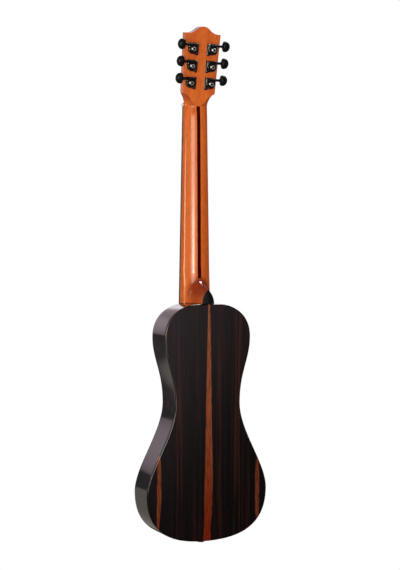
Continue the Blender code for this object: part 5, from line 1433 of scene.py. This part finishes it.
def addStudio():
    low = cadBox[0][2] - studio["floorDrop"]
    reach = studio["floorHalf"]
    mesh = bpy.data.meshes.new("floor")
    mesh.from_pydata([(-reach, -reach, low), (reach, -reach, low), (reach, reach, low), (-reach, reach, low)],
                     [], [(0, 1, 2, 3)])
    floor = bpy.data.objects.new("floor", mesh)
    bpy.context.scene.collection.objects.link(floor)
    paint = Paint("paleFloor")
    x, y, z = paint.axes()
    away = (x * x + y * y) ** 0.5
    seen = paint.node("LightPath", {}, {}, "Is Camera Ray")
    glow = paint.node("Emission", {}, {"Color": (1, 1, 1), "Strength": 1.0}, "Emission")
    paint.shader.inputs["Base Color"].default_value = (*studio["pale"], 1)
    white = seen * (0.8 + away.above((studio["fadeFrom"] + reach) / 2, (reach - studio["fadeFrom"]) / 2) * 0.2)
    both = paint.node("MixShader", {}, {0: white, 1: Wire(paint, paint.shader.outputs[0]), 2: glow}, "Shader")
    paint.feed(paint.tree.nodes["Material Output"].inputs["Surface"], both)
    mesh.materials.append(paint.material)
    floor.visible_glossy = False

    world = bpy.data.worlds.new("studio")
    world.use_nodes = True
    bpy.context.scene.world = world
    paint = Paint("studio", world.node_tree)
    toward = paint.node("TexCoord", {}, {}, "Generated")
    x, y, z = paint.axes(toward)
    wall = (0 - y).above(studio["wallFrom"], studio["wallSoft"]) * studio["wall"]
    turn, rise = math.radians(sheen["turn"]), math.radians(sheen["rise"])
    aim = (math.sin(turn) * math.cos(rise), math.cos(turn) * math.cos(rise), math.sin(rise))
    near = x * aim[0] + y * aim[1] + z * aim[2]
    glowing = near.above(math.cos(math.radians(sheen["reach"])), 1 - math.cos(math.radians(sheen["reach"])))
    gloss = wall + glowing * sheen["strength"] + studio["dark"]
    camera = paint.node("LightPath", {}, {}, "Is Camera Ray")
    glossy = paint.node("LightPath", {}, {}, "Is Glossy Ray")
    level = camera + (1 - camera) * (glossy * gloss + (1 - glossy) * studio["ambient"])
    paint.feed(world.node_tree.nodes["Background"].inputs["Strength"], level)
    paint.feed(world.node_tree.nodes["Background"].inputs["Color"], paint.mix((1, 1, 1), studio["tint"], glossy))


def addScreen():
    low, high = screen["low"], screen["high"]
    left, right, y = screen["left"], screen["right"], screen["y"]
    mesh = bpy.data.meshes.new("screen")
    mesh.from_pydata([(left, y, low), (right, y, low), (right, y, high), (left, y, high)], [], [(0, 1, 2, 3)])
    board = bpy.data.objects.new("screen", mesh)
    bpy.context.scene.collection.objects.link(board)
    paint = Paint("litScreen")
    x, _, z = paint.axes()
    spot = 1 - (((x - screen["blob"][0]) ** 2 + (z - screen["blob"][1]) ** 2) ** 0.5).above(0.11, 0.09)
    lit = (z.follow(*screen["lit"]) + spot * 0.9) * (1 - x.above(screen["litTo"], 0.06))
    under = (x * screen["slope"] - z).above(0 - screen["greyTop"], 0.030)
    shade = screen["dark"] + under * (z.follow(*screen["grey"]) - screen["dark"])
    upper = z.above(screen["darkTop"], 0.025)
    level = lit * upper + shade * x.above(-0.36, 0.20) * (1 - upper)
    lower = paint.mix(screen["night"], screen["floor"], under)
    tint = paint.mix(lower, paint.mix(screen["wall"], screen["plain"], spot), upper)
    colour = paint.node("VectorMath", {"operation": "SCALE"}, {0: tint, "Scale": level})
    paint.done(Base_Color=(0, 0, 0), Specular_IOR_Level=0.0, Emission_Color=colour, Emission_Strength=1.0)
    mesh.materials.append(paint.material)
    board.visible_camera = False
    board.visible_diffuse = False
    board.visible_shadow = False


def addLamp(name, place, aim, size, power, inGloss=True, inMatt=True, colour=(1, 1, 1)):
    data = bpy.data.lights.new(name, "AREA")
    data.shape = "RECTANGLE"
    data.size = size[0]
    data.size_y = size[1]
    data.energy = power
    data.color = colour
    lamp = bpy.data.objects.new(name, data)
    lamp.location = place
    lamp.rotation_euler = (Vector(aim) - Vector(place)).to_track_quat("-Z", "Y").to_euler()
    lamp.visible_glossy = inGloss
    lamp.visible_diffuse = inMatt
    bpy.context.scene.collection.objects.link(lamp)


warm = (1.0, 0.97, 0.80)
addCamera()
addStudio()
addScreen()
addLamp("keyLamp", (0.60, 2.43, -0.20), (0, 0, -0.3), (1.35, 1.5), 31, colour=warm)
addLamp("hotLamp", (0.47, 2.43, -0.26), (0, 0, -0.3), (0.45, 0.46), 12, inMatt=False, colour=warm)
addLamp("sideLamp", (1.39, 0.80, -0.25), (0, 0, -0.25), (0.8, 0.9), 9, inGloss=False)
addLamp("sideGlow", (1.6, 0.06, -0.16), (0, 0, -0.16), (0.42, 0.46), 6, inMatt=False, colour=(1.0, 0.80, 0.50))
addLamp("topLamp", (-0.52, -0.16, 0.86), (0, 0.02, -0.31), (0.7, 0.7), 31, inMatt=False)
addLamp("frontLamp", (0.5, -2.2, 0.9), (0, 0, -0.4), (1.6, 1.6), 26, inGloss=False)
bpy.context.scene.view_settings.view_transform = "Standard"
print("camera and studio set")
